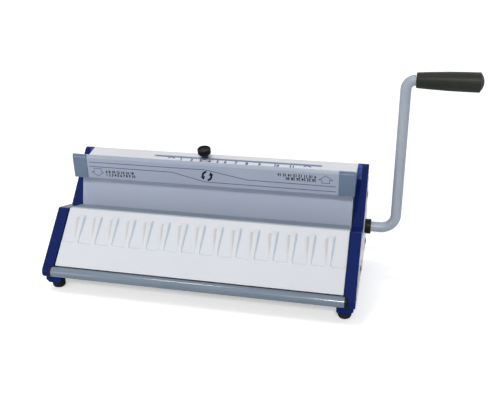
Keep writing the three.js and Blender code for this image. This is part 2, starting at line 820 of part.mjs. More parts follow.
for (const [name, side] of sides) {
  const outerX = body.innerHalf - rack.outerGap;
  const teeth = prismX(rackOutline(), side * rackInner, side * (gearInner + gear.width + gap));
  const back = box(side * rackInner, side * outerX, rackFront, rackRoot, rack.lowZ, carrierTop);
  const plate = prismX(webOutline, side * (outerX - web.thick), side * outerX);
  piece(`slide_carrier_${name}`, join(teeth, back, plate), finishes.black, leaningHead);

  const guideOuter = rackInner - gap;
  const strip = [
    point(guideFront, guide.footLowZ),
    point(guide.rear, guide.footLowZ),
    point(guide.rear, guide.highZ),
    point(guide.backGap, guide.highZ),
    point(guide.backGap, guide.footHighZ),
    point(guideFront, guide.footHighZ),
  ];
  const rail = prismX(strip, side * guideOuter, side * (guideOuter - guide.width));
  piece(`carrier_guide_${name}`, rail, finishes.black, leaningHead);
}
const joinHalf = restHalf - restPanel.wall - gap;
const tieBar = box(
  -joinHalf,
  joinHalf,
  joinRail.front,
  joinRail.front + joinRail.thick,
  joinRail.lowZ,
  joinRail.highZ,
);
piece("join_rail", tieBar, finishes.steel, leaningHead);

// Closing bar, which can be drawn off the carriers and turned round

const plateOutline = [
  onBar(0, 0),
  onBar(bar.height - bar.facetHeight, 0),
  onBar(bar.height, bar.facetBack),
  onBar(bar.height - bar.wall / 2, bar.facetBack + bar.wall),
  onBar(bar.height - bar.facetHeight - bar.wall / 2, bar.wall),
  onBar(bar.lipThick, bar.wall),
  onBar(bar.lipThick, bar.depth),
  onBar(0, bar.depth),
];
const capOuter = body.innerHalf + cap.overFrame;
const capInner = capOuter - cap.length;
const plateHalf = capInner - gap;
piece("closing_plate", prismX(plateOutline, -plateHalf, plateHalf), finishes.plate, leaningHead);
const capOutline = [
  onBar(-cap.proud, -cap.proud),
  onBar(bar.height - bar.facetHeight, -cap.proud),
  onBar(bar.height + cap.proud, bar.facetBack - cap.proud),
  onBar(bar.height - cap.topFall, bar.depth + cap.proud),
  onBar(-cap.proud, bar.depth + cap.proud),
];
for (const [name, side] of sides) {
  const outerX = body.innerHalf - rack.outerGap;
  const tongueSlot = [
    onBar(cap.tongueLow - gap, cap.slotStart),
    onBar(cap.tongueHigh + gap, cap.slotStart),
    onBar(cap.tongueHigh + gap, bar.depth + overrun * 2),
    onBar(cap.tongueLow - gap, bar.depth + overrun * 2),
  ];
  const block = prismX(capOutline, side * capInner, side * capOuter);
  const pocket = prismX(tongueSlot, side * (outerX - web.thick - gap), side * (outerX + gap));
  piece(`bar_cap_${name}`, cut(block, pocket), finishes.slate, leaningHead);
}

// Top cover with its slot, and rear cover

const lipFace = restPanel.wall + gap;
const lipLow = fromHead(lipFace, cover.frontZ - cover.lipHeight);
const lipHigh = fromHead(lipFace, cover.frontZ);
const ridge = point(cover.ridgeY, cover.ridgeZ);
const downRear = leaning(-cover.rearLean).multiplyScalar(-1);
const skirtEnd = ridge.clone().addScaledVector(downRear, cover.skirt);
const upCover = ridge.clone().sub(lipHigh).normalize();
const coverTop = new THREE.Group();
coverTop.position.set(0, lipHigh.x, lipHigh.y);
coverTop.rotation.x = Math.atan2(upCover.y, upCover.x);
machine.add(coverTop);

const topSheet = sheetOutline([lipLow, lipHigh, ridge, skirtEnd], -cover.wall);
const slotLow = sizeStop.leftInset - body.innerHalf;
const slotHigh = body.innerHalf - sizeStop.rightInset;
const slotTool = new THREE.BoxGeometry(
  slotHigh - slotLow + 2 * (sizeStop.studRadius + gap),
  sizeStop.slotWidth,
  cover.wall + 2 * overrun,
);
slotTool.translate((slotHigh + slotLow) / 2, sizeStop.along, -cover.wall / 2);
coverTop.updateMatrix();
slotTool.applyMatrix4(coverTop.matrix);
piece("top_cover", cut(prismX(topSheet, -panelHalf, panelHalf), slotTool), finishes.white);

const rearStart = skirtEnd.clone().addScaledVector(downRear, gap);
const rearLow = meet(rearStart, downRear, point(0, plateTop + gap), point(1, 0));
const rearFlange = rearLow.clone().sub(point(tray.pull, 0));
const rearSheet = sheetOutline([rearStart, rearLow, rearFlange], -cover.wall);
const trayHalf = body.innerHalf - tray.sideGap;
const doorHalf = trayHalf + tray.play;
const doorTool = box(
  -doorHalf,
  doorHalf,
  rearFlange.x - overrun,
  rearLow.x + overrun,
  plateTop - overrun,
  tray.topZ + tray.play,
);
piece("rear_cover", cut(prismX(rearSheet, -panelHalf, panelHalf), doorTool), finishes.white);

// Size stop: slider under the cover, stud, washer and knob

const stopBlockTop = -cover.wall - gap;
const block = box(
  sizeStop.restX - sizeStop.blockLength / 2,
  sizeStop.restX + sizeStop.blockLength / 2,
  sizeStop.along - sizeStop.blockWidth / 2,
  sizeStop.along + sizeStop.blockWidth / 2,
  stopBlockTop - sizeStop.blockThick,
  stopBlockTop,
);
const finger = box(
  sizeStop.restX - sizeStop.fingerWidth / 2,
  sizeStop.restX + sizeStop.fingerWidth / 2,
  sizeStop.along - sizeStop.fingerWidth / 2,
  sizeStop.along - sizeStop.blockWidth / 2,
  stopBlockTop - sizeStop.blockThick - sizeStop.fingerLength,
  stopBlockTop - sizeStop.blockThick / 2,
);
const studHole = turnedZ(
  rod(sizeStop.studRadius + gap, stopBlockTop - sizeStop.blockThick - overrun, overrun),
  sizeStop.knobSides / 2,
).translate(sizeStop.restX, sizeStop.along, 0);
piece("stop_slider", cut(join(block, finger), studHole), finishes.steel, coverTop);

const washerTop = gap + sizeStop.washerThick;
const onStud = (profile, count) => turnedZ(profile, count).translate(sizeStop.restX, sizeStop.along, 0);
piece(
  "stop_washer",
  onStud(pipe(sizeStop.studRadius + gap, sizeStop.washerRadius, gap, washerTop), sizeStop.knobSides),
  finishes.steel,
  coverTop,
);
const knobStart = washerTop + gap;
const studTop = knobStart + sizeStop.knobHeight / 2;
piece(
  "stop_stud",
  onStud(rod(sizeStop.studRadius, stopBlockTop - sizeStop.blockThick, studTop - gap), sizeStop.knobSides / 2),
  finishes.steel,
  coverTop,
);
const knobTop = knobStart + sizeStop.knobHeight;
const knobChamfer = sizeStop.neckHeight / 3;
const knobProfile = [
  [sizeStop.studRadius + gap, knobStart],
  [sizeStop.neckRadius, knobStart],
  [sizeStop.neckRadius, knobStart + sizeStop.neckHeight],
  [sizeStop.knobRadius, knobStart + 2 * sizeStop.neckHeight],
  [sizeStop.knobRadius, knobTop - knobChamfer],
  [sizeStop.knobRadius - knobChamfer, knobTop],
  [0, knobTop],
  [0, studTop],
  [sizeStop.studRadius + gap, studTop],
  [sizeStop.studRadius + gap, knobStart],
];
piece("stop_knob", onStud(knobProfile, sizeStop.knobSides), finishes.black, coverTop);

// Crank and grip

const armX = sideCoverX + crank.armOffset;
class CrankPath extends THREE.Curve {
  constructor() {
    super();
    const bends = [
      [armX - crank.lowBend, crank.lowBend],
      [crank.armHeight - crank.lowBend - crank.highBend, 0],
      [0, crank.highBend],
    ];
    this.start = shaftEnd + gap;
    this.stretch = [
      bends[0][0] - this.start,
      (crank.lowBend * Math.PI) / 2,
      bends[1][0],
      (crank.highBend * Math.PI) / 2,
    ];
    this.total = this.stretch.reduce((sum, length) => sum + length, 0);
  }

  getPoint(share, target = new THREE.Vector3()) {
    let left = share * this.total;
    const [low, lowArc, upright, highArc] = this.stretch;
    if (left <= low) return target.set(this.start + left, 0, 0);
    left -= low;
    if (left <= lowArc) {
      const angle = left / crank.lowBend;
      const x = armX - crank.lowBend + crank.lowBend * Math.sin(angle);
      return target.set(x, 0, crank.lowBend * (1 - Math.cos(angle)));
    }
    left -= lowArc;
    if (left <= upright) return target.set(armX, 0, crank.lowBend + left);
    left -= upright;
    const angle = Math.min(left, highArc) / crank.highBend;
    const x = armX + crank.highBend * (1 - Math.cos(angle));
    return target.set(x, 0, crank.armHeight - crank.highBend + crank.highBend * Math.sin(angle));
  }
}
function circle(radius, count) {
  const outline = [];
  for (let step = 0; step < count; step += 1) {
    const angle = (2 * Math.PI * step) / count;
    outline.push(point(radius * Math.cos(angle), radius * Math.sin(angle)));
  }
  return new THREE.Shape(outline);
}
const gripStart = armX + crank.highBend + gap;
const gripEnd = gripStart + grip.length;
const boreEnd = gripEnd - grip.floor;
const tube = new THREE.ExtrudeGeometry(circle(crank.tubeRadius, crank.sides), {
  extrudePath: new CrankPath(),
  steps: crank.steps,
  bevelEnabled: false,
});
const spindle = turnedX(rod(crank.spindleRadius, armX + crank.highBend / 2, boreEnd - gap), crank.sides);
spindle.translate(0, 0, crank.armHeight);
const tenonBore = turnedX(
  rod(crank.tenonRadius + gap, shaftEnd, shaftEnd + crank.tenonLength + 2 * gap),
  crank.sides,
);
const arm = cut(join(tube, spindle), tenonBore).translate(0, crank.y, crank.z);
piece("crank_arm", arm, finishes.tube);

const boreRadius = crank.spindleRadius + gap;
const gripProfile = [
  [boreRadius, gripStart],
  [grip.armRadius - overrun, gripStart],
  [grip.armRadius, gripStart + overrun],
  [grip.midRadius, (gripStart + gripEnd) / 2],
  [grip.endRadius, gripEnd - grip.tipLength],
  [grip.tipRadius, gripEnd - grip.tipLength / 4],
  [grip.tipRadius / 2, gripEnd],
  [0, gripEnd],
  [0, boreEnd],
  [boreRadius, boreEnd],
  [boreRadius, gripStart],
];
const handle = turnedX(gripProfile, grip.sides).translate(0, crank.y, crank.z + crank.armHeight);
piece("crank_grip", handle, finishes.black);

// Tie rod, and the return spring whose leg rests on it

const coilRadius = crank.tubeRadius + gap + spring.wireRadius;
const rodTop = coilRadius - spring.wireRadius - gap;
const rodPlace = point(axle.x + tieRod.behind, axle.y + rodTop - tieRod.radius);
const tie = turnedX(rod(tieRod.radius, -panelHalf, panelHalf), tieRod.sides);
piece("tie_rod", tie.translate(0, rodPlace.x, rodPlace.y), finishes.steel, leaningHead);

class SpringPath extends THREE.Curve {
  constructor() {
    super();
    this.coil = 2 * Math.PI * coilRadius * spring.turns;
    this.leg = tieRod.behind;
  }

  getPoint(share, target = new THREE.Vector3()) {
    const left = share * (this.coil + this.leg);
    const turn = Math.min(left, this.coil) / coilRadius;
    const angle = Math.PI / 2 - turn + 2 * Math.PI * spring.turns;
    const x = (spring.pitch * turn) / (2 * Math.PI);
    const beyond = Math.max(left - this.coil, 0);
    return target.set(
      x,
      coilRadius * Math.cos(angle) + beyond,
      coilRadius * Math.sin(angle),
    );
  }
}
const springPath = new SpringPath();
const springSteps = spring.stepsPerTurn * spring.turns + spring.stepsPerTurn / 2;
function leastSpringGap() {
  // between stretches of the wire that lie at least half a turn apart
  const places = [];
  for (let step = 0; step <= springSteps; step += 1) {
    places.push(springPath.getPointAt(step / springSteps));
  }
  let least = Infinity;
  places.forEach((place, index) => {
    places.slice(index + spring.stepsPerTurn / 2).forEach((other) => {
      least = Math.min(least, place.distanceTo(other));
    });
  });
  return least - 2 * spring.wireRadius;
}
console.log(`return spring: least gap to itself ${leastSpringGap().toFixed(2)} mm`);
const coil = new THREE.ExtrudeGeometry(circle(spring.wireRadius, spring.sides), {
  extrudePath: springPath,
  steps: springSteps,
  bevelEnabled: false,
});
coil.translate(camPlace - spring.beforeCam, axle.x, axle.y);
piece("return_spring", coil, finishes.steel, leaningHead);

// Chip tray

const trayRear = rearLow.x - cover.wall / 2;
const trayFloor = plateTop + gap;
const trayShell = box(-trayHalf, trayHalf, tray.frontY, trayRear, trayFloor, tray.topZ);
const trayHollow = box(
  -trayHalf + tray.wall,
  trayHalf - tray.wall,
  tray.frontY + tray.wall,
  trayRear - tray.wall,
  trayFloor + tray.wall,
  tray.topZ + overrun,
);
const pullLip = box(
  -tray.pullHalf,
  tray.pullHalf,
  trayRear - tray.wall,
  trayRear + tray.pull,
  tray.topZ - tray.pullThick,
  tray.topZ,
);
piece("chip_tray", join(cut(trayShell, trayHollow), pullLip), finishes.black);

// The machine stands on Z = 0, with the middle of its outer box at X = 0 and Y = 0.

machine.updateMatrixWorld(true);
const extent = new THREE.Box3().setFromObject(machine, true);
const middle = extent.getCenter(new THREE.Vector3());
machine.position.set(-middle.x, -middle.y, -extent.min.z);
machine.updateMatrixWorld(true);

export default machine;
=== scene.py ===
import json
import math

import bmesh
import bpy
from mathutils import Matrix, Vector


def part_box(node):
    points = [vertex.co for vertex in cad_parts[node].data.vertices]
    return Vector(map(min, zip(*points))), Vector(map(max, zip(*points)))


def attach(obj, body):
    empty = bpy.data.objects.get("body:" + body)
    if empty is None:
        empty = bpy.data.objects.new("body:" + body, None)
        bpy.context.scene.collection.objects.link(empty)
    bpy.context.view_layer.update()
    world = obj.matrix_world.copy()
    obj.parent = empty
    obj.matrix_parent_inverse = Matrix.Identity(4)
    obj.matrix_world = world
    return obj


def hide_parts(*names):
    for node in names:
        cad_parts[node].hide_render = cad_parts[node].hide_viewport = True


# Manual wire binding machine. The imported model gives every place; here it gets its surfaces.
# Shapes are worked out in millimetres from the bottom edge of the front cover, X to the right,
# Y to the back and Z up, and are made into metres of the shared frame as each mesh is placed.

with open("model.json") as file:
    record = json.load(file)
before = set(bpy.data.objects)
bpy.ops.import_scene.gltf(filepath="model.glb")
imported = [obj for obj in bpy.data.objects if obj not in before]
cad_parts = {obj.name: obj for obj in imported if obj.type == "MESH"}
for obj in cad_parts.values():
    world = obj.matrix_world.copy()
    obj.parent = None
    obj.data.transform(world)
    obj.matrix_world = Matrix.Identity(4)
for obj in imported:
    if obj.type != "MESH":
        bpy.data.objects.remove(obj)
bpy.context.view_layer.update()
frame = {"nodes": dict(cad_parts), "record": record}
scene = bpy.context.scene
record = frame["record"]
bodyOf = {node: name for name, nodes in record["behaviour"]["bodies"].items() for node in nodes}

millimetre = 0.001
inch = 25.4
gap = 0.3  # between pieces that touch
overrun = 1  # how far a cutting or joining shape runs on

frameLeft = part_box("side_frame_left")[0]
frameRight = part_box("side_frame_right")[1]
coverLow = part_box("front_cover")[0]
reference = Vector(((frameLeft.x + frameRight.x) / 2, coverLow.y, coverLow.z)) / millimetre
machine = Matrix.Translation(reference * millimetre) @ Matrix.Scale(millimetre, 4)


def boxOf(node):
    low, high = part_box(node)
    return low / millimetre - reference, high / millimetre - reference


def middleOf(node):
    low, high = boxOf(node)
    return (low + high) / 2


panelHalf = boxOf("front_cover")[1].x
innerHalf = panelHalf + gap


# Camera, floor and light

camera = {
    "place": (251.7, -767.5, 406.9),
    "pitch": 19.98,
    "yaw": 12.65,
    "focalPixels": 670.8,
    "framePixels": 500,
    "sensor": 36,
}
view = bpy.data.cameras.new("photographView")
view.sensor_width = camera["sensor"]
view.lens = camera["focalPixels"] / camera["framePixels"] * camera["sensor"]
view.clip_start = 0.01
viewObject = bpy.data.objects.new("photographView", view)
viewObject.location = machine @ Vector(camera["place"])
viewObject.rotation_euler = (math.radians(90 - camera["pitch"]), 0, math.radians(camera["yaw"]))
scene.collection.objects.link(viewObject)
scene.camera = viewObject
scene.view_settings.view_transform = "Standard"


def linear(code):
    # a colour written as six hexadecimal digits, as the linear values that a node takes
    parts = [int(code[index:index + 2], 16) / 255 for index in (0, 2, 4)]
    return [part / 12.92 if part <= 0.04045 else ((part + 0.055) / 1.055) ** 2.4 for part in parts] + [1]


def addNode(tree, kind, inputs=None, **settings):
    node = tree.nodes.new(kind)
    for name, value in settings.items():
        setattr(node, name, value)
    for name, value in (inputs or {}).items():
        socket = node.inputs[name]
        if isinstance(value, bpy.types.NodeSocket):
            tree.links.new(value, socket)
        else:
            socket.default_value = value
    return node


def calc(tree, operation, *values, clamp=False):
    inputs = dict(enumerate(values))
    return addNode(tree, "ShaderNodeMath", inputs, operation=operation, use_clamp=clamp).outputs[0]


def times(tree, product, *values):
    for value in values:
        product = calc(tree, "MULTIPLY", product, value)
    return product


def without(tree, share):
    # what the share leaves of 1
    return calc(tree, "SUBTRACT", 1.0, share)


def hump(tree, share):
    # 1 where the share is a half, 0 where it is 0 or 1
    return times(tree, share, without(tree, share), 4.0)


def vector(tree, **parts):
    return addNode(tree, "ShaderNodeCombineXYZ", parts).outputs[0]


def split(tree, value):
    return addNode(tree, "ShaderNodeSeparateXYZ", {0: value}).outputs


def ramp(tree, value, low, high, smooth=True):
    # 0 where the value is low, 1 where it is high
    inputs = {"Value": value, "From Min": low, "From Max": high, "To Min": 0.0, "To Max": 1.0}
    kind = "SMOOTHSTEP" if smooth else "LINEAR"
    node = addNode(tree, "ShaderNodeMapRange", inputs, interpolation_type=kind, clamp=True)
    return node.outputs["Result"]


def mixColour(tree, factor, first, second):
    inputs = {0: factor, 6: first, 7: second}
    return addNode(tree, "ShaderNodeMix", inputs, data_type="RGBA").outputs[2]


def newMaterial(name):
    material = bpy.data.materials.new(name)
    material.use_nodes = True
    material.node_tree.nodes.clear()
    return material, material.node_tree


daylight = {"ambient": 0.47, "leftTint": "FFF9EF", "rightTint": "AFC0DC", "backdrop": 1.0}
suns = {
    "key": {"towards": (0.1, -0.8, 0.57), "strength": 1.28, "spread": 9, "tint": "FFFCF6"},
    "glint": {"towards": (-0.3, -0.12, 0.95), "strength": 0.5, "spread": 11, "tint": "FFFFFF"},
    "rear": {"towards": (0.4, 0.8, 0.6), "strength": 0.25, "spread": 60, "tint": "FFFFFF"},
}
nearLamp = {"place": (-700, -600, 150), "aim": (-150, 90, 100), "size": 400, "power": 0.9}
studioFloor = {"half": 60000, "colour": "F4F4F4", "glow": 0.45}


def hung(light, place, away):
    # a lamp shines against the direction that it is given
    made = bpy.data.objects.new(light.name, light)
    made.location = place
    made.rotation_euler = away.to_track_quat("Z", "Y").to_euler()
    scene.collection.objects.link(made)


def buildLight():
    world = bpy.data.worlds.new("studio")
    world.use_nodes = True
    tree = world.node_tree
    tree.nodes.clear()
    path = addNode(tree, "ShaderNodeLightPath")
    seen = calc(tree, "MAXIMUM", path.outputs["Is Camera Ray"], path.outputs["Is Glossy Ray"])
    seen = calc(tree, "MAXIMUM", seen, path.outputs["Is Transmission Ray"])
    # the light is a little warmer from the left and cooler from the right
    direction = addNode(tree, "ShaderNodeTexCoord").outputs["Generated"]
    across = ramp(tree, split(tree, direction)["X"], -1.0, 1.0)
    tint = mixColour(tree, across, linear(daylight["leftTint"]), linear(daylight["rightTint"]))
    soft = addNode(tree, "ShaderNodeBackground", {"Color": tint, "Strength": daylight["ambient"]})
    plain = {"Color": linear("FFFFFF"), "Strength": daylight["backdrop"]}
    white = addNode(tree, "ShaderNodeBackground", plain)
    mixed = addNode(tree, "ShaderNodeMixShader", {0: seen, 1: soft.outputs[0], 2: white.outputs[0]})
    addNode(tree, "ShaderNodeOutputWorld", {"Surface": mixed.outputs[0]})
    scene.world = world
    for name, sun in suns.items():
        light = bpy.data.lights.new(name, "SUN")
        light.angle = math.radians(sun["spread"])
        light.energy = sun["strength"]
        light.color = linear(sun["tint"])[:3]
        hung(light, Vector(sun["towards"]), Vector(sun["towards"]))
    light = bpy.data.lights.new("near", "AREA")
    light.size = nearLamp["size"] * millimetre
    light.energy = nearLamp["power"]
    place = machine @ Vector(nearLamp["place"])
    hung(light, place, place - machine @ Vector(nearLamp["aim"]))


def buildFloor():
    finish, tree = newMaterial("studioFloor")
    path = addNode(tree, "ShaderNodeLightPath")
    matte = addNode(tree, "ShaderNodeBsdfDiffuse", {"Color": linear(studioFloor["colour"])})
    glow = times(tree, path.outputs["Is Camera Ray"], studioFloor["glow"])
    glow = addNode(tree, "ShaderNodeEmission", {"Color": linear("FFFFFF"), "Strength": glow})
    both = addNode(tree, "ShaderNodeAddShader", {0: matte.outputs[0], 1: glow.outputs[0]})
    addNode(tree, "ShaderNodeOutputMaterial", {"Surface": both.outputs[0]})
    half = studioFloor["half"] * millimetre
    mesh = bpy.data.meshes.new("studioFloor")
    corners = [(-half, -half, 0), (half, -half, 0), (half, half, 0), (-half, half, 0)]
    mesh.from_pydata(corners, [], [(0, 1, 2, 3)])
    mesh.materials.append(finish)
    floor = bpy.data.objects.new("studioFloor", mesh)
    scene.collection.objects.link(floor)


buildLight()
buildFloor()
print("stage: camera, light and floor")


# Finishes

spreads = {
    "tone": (0.3, 0.7), "wear": (0.35, 0.65), "corner": (0.06, 0.5), "brush": (0.3, 0.7),
    "upward": (0.3, 1.0), "dust": (0.35, 0.75), "ink": (0.3, 0.8),
}  # of a noise or a direction, from where an effect starts to where it is full


def newGroup(name, inputs, outputs):
    # a shader node group with named inputs and outputs
    tree = bpy.data.node_groups.new(name, "ShaderNodeTree")
    for label, (kind, value) in inputs.items():
        socket = tree.interface.new_socket(label, in_out="INPUT", socket_type="NodeSocket" + kind)
        socket.default_value = value
    for label, kind in outputs.items():
        tree.interface.new_socket(label, in_out="OUTPUT", socket_type="NodeSocket" + kind)
    return tree, addNode(tree, "NodeGroupInput").outputs


def noise(tree, size, detail=2.0):
    # a noise whose blobs are about the given size in metres
    place = addNode(tree, "ShaderNodeTexCoord").outputs["Object"]
    inputs = {"Vector": place, "Scale": calc(tree, "DIVIDE", 1.0, size), "Detail": detail}
    return addNode(tree, "ShaderNodeTexNoise", inputs).outputs["Fac"]


def makeGrainGroup():
    # the fine tooth of moulded plastic or powder coat, over a slower waviness
    inputs = {"Grain Size": ("Float", 0.0006), "Wave Size": ("Float", 0.004), "Wave Share": ("Float", 0.5)}
    tree, given = newGroup("mouldedGrain", inputs, {"Height": "Float"})
    fine = noise(tree, given["Grain Size"], detail=3.0)
    wave = noise(tree, given["Wave Size"], detail=1.0)
    height = calc(tree, "MULTIPLY_ADD", wave, given["Wave Share"], fine)
    addNode(tree, "NodeGroupOutput", {"Height": height})
    return tree


def makeToneGroup():
    # slow changes of colour and gloss over a surface
    inputs = {
        "Colour": ("Color", (0.5, 0.5, 0.5, 1)),
        "Other Colour": ("Color", (0.4, 0.4, 0.4, 1)),
        "Patch Size": ("Float", 0.05),
        "Amount": ("Float", 0.3),
        "Roughness": ("Float", 0.5),
        "Gloss Change": ("Float", 0.06),
        "Smudge Share": ("Float", 0.3),
    }
    tree, given = newGroup("slowTone", inputs, {"Colour": "Color", "Roughness": "Float"})
    amount = times(tree, ramp(tree, noise(tree, given["Patch Size"]), *spreads["tone"]), given["Amount"])
    colour = mixColour(tree, amount, given["Colour"], given["Other Colour"])
    smudges = noise(tree, times(tree, given["Patch Size"], given["Smudge Share"]), detail=3.0)
    shift = times(tree, calc(tree, "SUBTRACT", smudges, 0.5), given["Gloss Change"])
    rough = calc(tree, "ADD", given["Roughness"], shift, clamp=True)
    addNode(tree, "NodeGroupOutput", {"Colour": colour, "Roughness": rough})
    return tree


def makeWearAndHighlightGroup():
    # outer edges lighter in broken stretches, partly worn by hands and cases and partly a painted highlight
    inputs = {"Break Size": ("Float", 0.006), "Least": ("Float", 0.3)}
    tree, given = newGroup("rubbedEdges", inputs, {"Mask": "Float"})
    edges = addNode(tree, "ShaderNodeAttribute", attribute_name="edge").outputs["Fac"]
    broken = ramp(tree, noise(tree, given["Break Size"], detail=4.0), *spreads["wear"])
    broken = calc(tree, "MAXIMUM", broken, given["Least"])
    addNode(tree, "NodeGroupOutput", {"Mask": times(tree, edges, broken)})
    return tree


def makeCornerGroup():
    # painted shade and a little grime in the inner corners, darker where the surface is closed in
    inputs = {"Reach": ("Float", 0.006), "Amount": ("Float", 0.5)}
    tree, given = newGroup("innerCorners", inputs, {"Mask": "Float"})
    around = addNode(tree, "ShaderNodeAmbientOcclusion", {"Distance": given["Reach"]}, samples=8)
    closed = ramp(tree, without(tree, around.outputs["AO"]), *spreads["corner"], smooth=False)
    addNode(tree, "NodeGroupOutput", {"Mask": times(tree, closed, given["Amount"])})
    return tree


def makeBrushGroup():
    # fine lines left by rolling or grinding, along X or round a turned piece
    inputs = {"Line Width": ("Float", 0.0004), "Line Length": ("Float", 0.04)}
    tree, given = newGroup("brushedLines", inputs, {"Height": "Float", "Tone": "Float"})
    place = addNode(tree, "ShaderNodeTexCoord").outputs["Object"]
    stretch = vector(tree, X=calc(tree, "DIVIDE", given["Line Width"], given["Line Length"]), Y=1.0, Z=1.0)
    place = addNode(tree, "ShaderNodeVectorMath", {0: place, 1: stretch}, operation="MULTIPLY").outputs[0]
    inputs = {"Vector": place, "Scale": calc(tree, "DIVIDE", 1.0, given["Line Width"]), "Detail": 2.0}
    lines = addNode(tree, "ShaderNodeTexNoise", inputs).outputs["Fac"]
    addNode(tree, "NodeGroupOutput", {"Height": lines, "Tone": ramp(tree, lines, *spreads["brush"])})
    return tree


def makeDustGroup():
    # a little dust where a surface faces up
    inputs = {"Amount": ("Float", 0.2), "Patch Size": ("Float", 0.01)}
    tree, given = newGroup("settledDust", inputs, {"Mask": "Float"})
    facing = addNode(tree, "ShaderNodeNewGeometry").outputs["Normal"]
    upward = ramp(tree, split(tree, facing)["Z"], *spreads["upward"])
    patches = ramp(tree, noise(tree, given["Patch Size"], detail=5.0), *spreads["dust"])
    addNode(tree, "NodeGroupOutput", {"Mask": times(tree, upward, patches, given["Amount"])})
    return tree


effects = {
    "grain": makeGrainGroup(),
    "tone": makeToneGroup(),
    "wear": makeWearAndHighlightGroup(),
    "corner": makeCornerGroup(),
    "brush": makeBrushGroup(),
    "dust": makeDustGroup(),
}


def effect(tree, name, **inputs):
    labelled = {label.replace("_", " "): value for label, value in inputs.items()}
    return addNode(tree, "ShaderNodeGroup", labelled, node_tree=effects[name]).outputs


# the lighter edge colour of each finish is partly worn and partly painted highlight, most of all on the
# blue shell
finishValues = {
    "blueShell": {
        "colour": "0B2162", "other": "091D59", "rough": 0.38, "grain": (0.7, 0.008), "patch": 60,
        "wear": "4A5FA8", "wearAndHighlightShare": 0.55, "shine": 0.02, "coat": 0.2, "rim": 1.0,
    },
    "whiteCover": {
        "colour": "DDE0E6", "other": "DADDE3", "rough": 0.42, "grain": (0.9, 0.01), "patch": 90,
        "wear": "F6F7F9", "wearAndHighlightShare": 0.7, "corner": (6, 0.3, "A4A7AC"), "shine": 0.3,
        "shades": {"coolShade": "C2CFD9", "warmShade": "CBC9C7"},
    },
    "topWhite": {
        "colour": "EDEEF1", "other": "E9EAED", "rough": 0.4, "grain": (0.9, 0.01), "patch": 90,
        "wear": "F4F4F4", "wearAndHighlightShare": 0.7, "shine": 0.3,
    },
    "sidePanel": {
        "colour": "E6E4DA", "other": "DDDBCF", "rough": 0.5, "grain": (0.8, 0.03), "patch": 50,
        "wear": "EFEDE6", "wearAndHighlightShare": 0.4, "shine": 0.3, "rim": 1.0,
    },
    "greyPanel": {
        "colour": "ADB6C7", "other": "A9B1C5", "rough": 0.5, "grain": (0.7, 0.008), "patch": 120,
        "wear": "D5DAE2", "wearAndHighlightShare": 0.7, "shine": 0.2,
    },
    "greyLedge": {
        "colour": "8C9AA7", "other": "8492A0", "rough": 0.45, "grain": (0.7, 0.008), "patch": 80,
        "wear": "A9B0B9", "wearAndHighlightShare": 0.5, "shine": 0.3,
    },
    "slateBar": {
        "colour": "6F7F90", "other": "687889", "rough": 0.36, "grain": (0.8, 0.004), "patch": 60,
        "wear": "93A1AE", "wearAndHighlightShare": 0.3, "coat": 1.0, "shine": 0.3,
    },
    "slateCap": {
        "colour": "66788F", "other": "5F7088", "rough": 0.42, "grain": (0.7, 0.02), "patch": 25,
        "wear": "8C9AAB", "wearAndHighlightShare": 0.5, "shine": 0.3,
    },
    "closingPlate": {
        "colour": "A3ADBE", "other": "9FA8BC", "rough": 0.38, "grain": (0.6, 0.008), "patch": 110,
        "wear": "D2D8E0", "wearAndHighlightShare": 0.7, "metal": 0.1, "shine": 0.4,
    },
    "blackPlastic": {
        "colour": "191B18", "other": "141613", "rough": 0.36, "grain": (0.6, 0.03), "patch": 15,
        "wear": "3C3F3C", "wearAndHighlightShare": 0.4, "dust": 0.02, "shine": 0.12,
    },
    "gripPlastic": {
        "colour": "2F322D", "other": "2A2D28", "rough": 0.4, "grain": (0.7, 0.02), "patch": 20,
        "wear": "3A3D40", "wearAndHighlightShare": 0.4, "shine": 0.14,
    },
    "rubberFoot": {
        "colour": "22231F", "other": "1A1B18", "rough": 0.75, "grain": (0.5, 0.05), "patch": 8,
        "wear": "3B3C37", "wearAndHighlightShare": 0.4, "dust": 0.15, "shine": 0.2,
    },
    "crankTube": {
        "colour": "A9B2BF", "other": "A3ADBB", "rough": 0.42, "grain": (0.6, 0.008), "patch": 40,
        "wear": "B9C0C8", "wearAndHighlightShare": 0.3, "metal": 0.1, "shine": 0.4,
    },
    "brushedSteel": {
        "colour": "8C9095", "other": "7D8186", "rough": 0.34, "brush": (0.35, 30, 0.012), "patch": 40,
        "wear": "B4B7BB", "wearAndHighlightShare": 0.5, "metal": 0.95,
    },
    "slideBlack": {
        "colour": "242525", "other": "1B1C1C", "rough": 0.45, "brush": (0.4, 20, 0.01), "patch": 20,
        "wear": "5C5E60", "wearAndHighlightShare": 0.7, "metal": 0.3, "shine": 0.3,
    },
    "bushBronze": {
        "colour": "9A7B45", "other": "8A6B3A", "rough": 0.38, "brush": (0.3, 8, 0.01), "patch": 10,
        "wear": "C2A36A", "wearAndHighlightShare": 0.5, "metal": 0.9,
    },
}
dustColour = "8F8E88"
lacquer = {"rough": 0.12, "rimFrom": 0.7, "rimFull": 0.92}
finishShares = {"tone": 0.8, "ground": 0.35, "bump": 0.6}


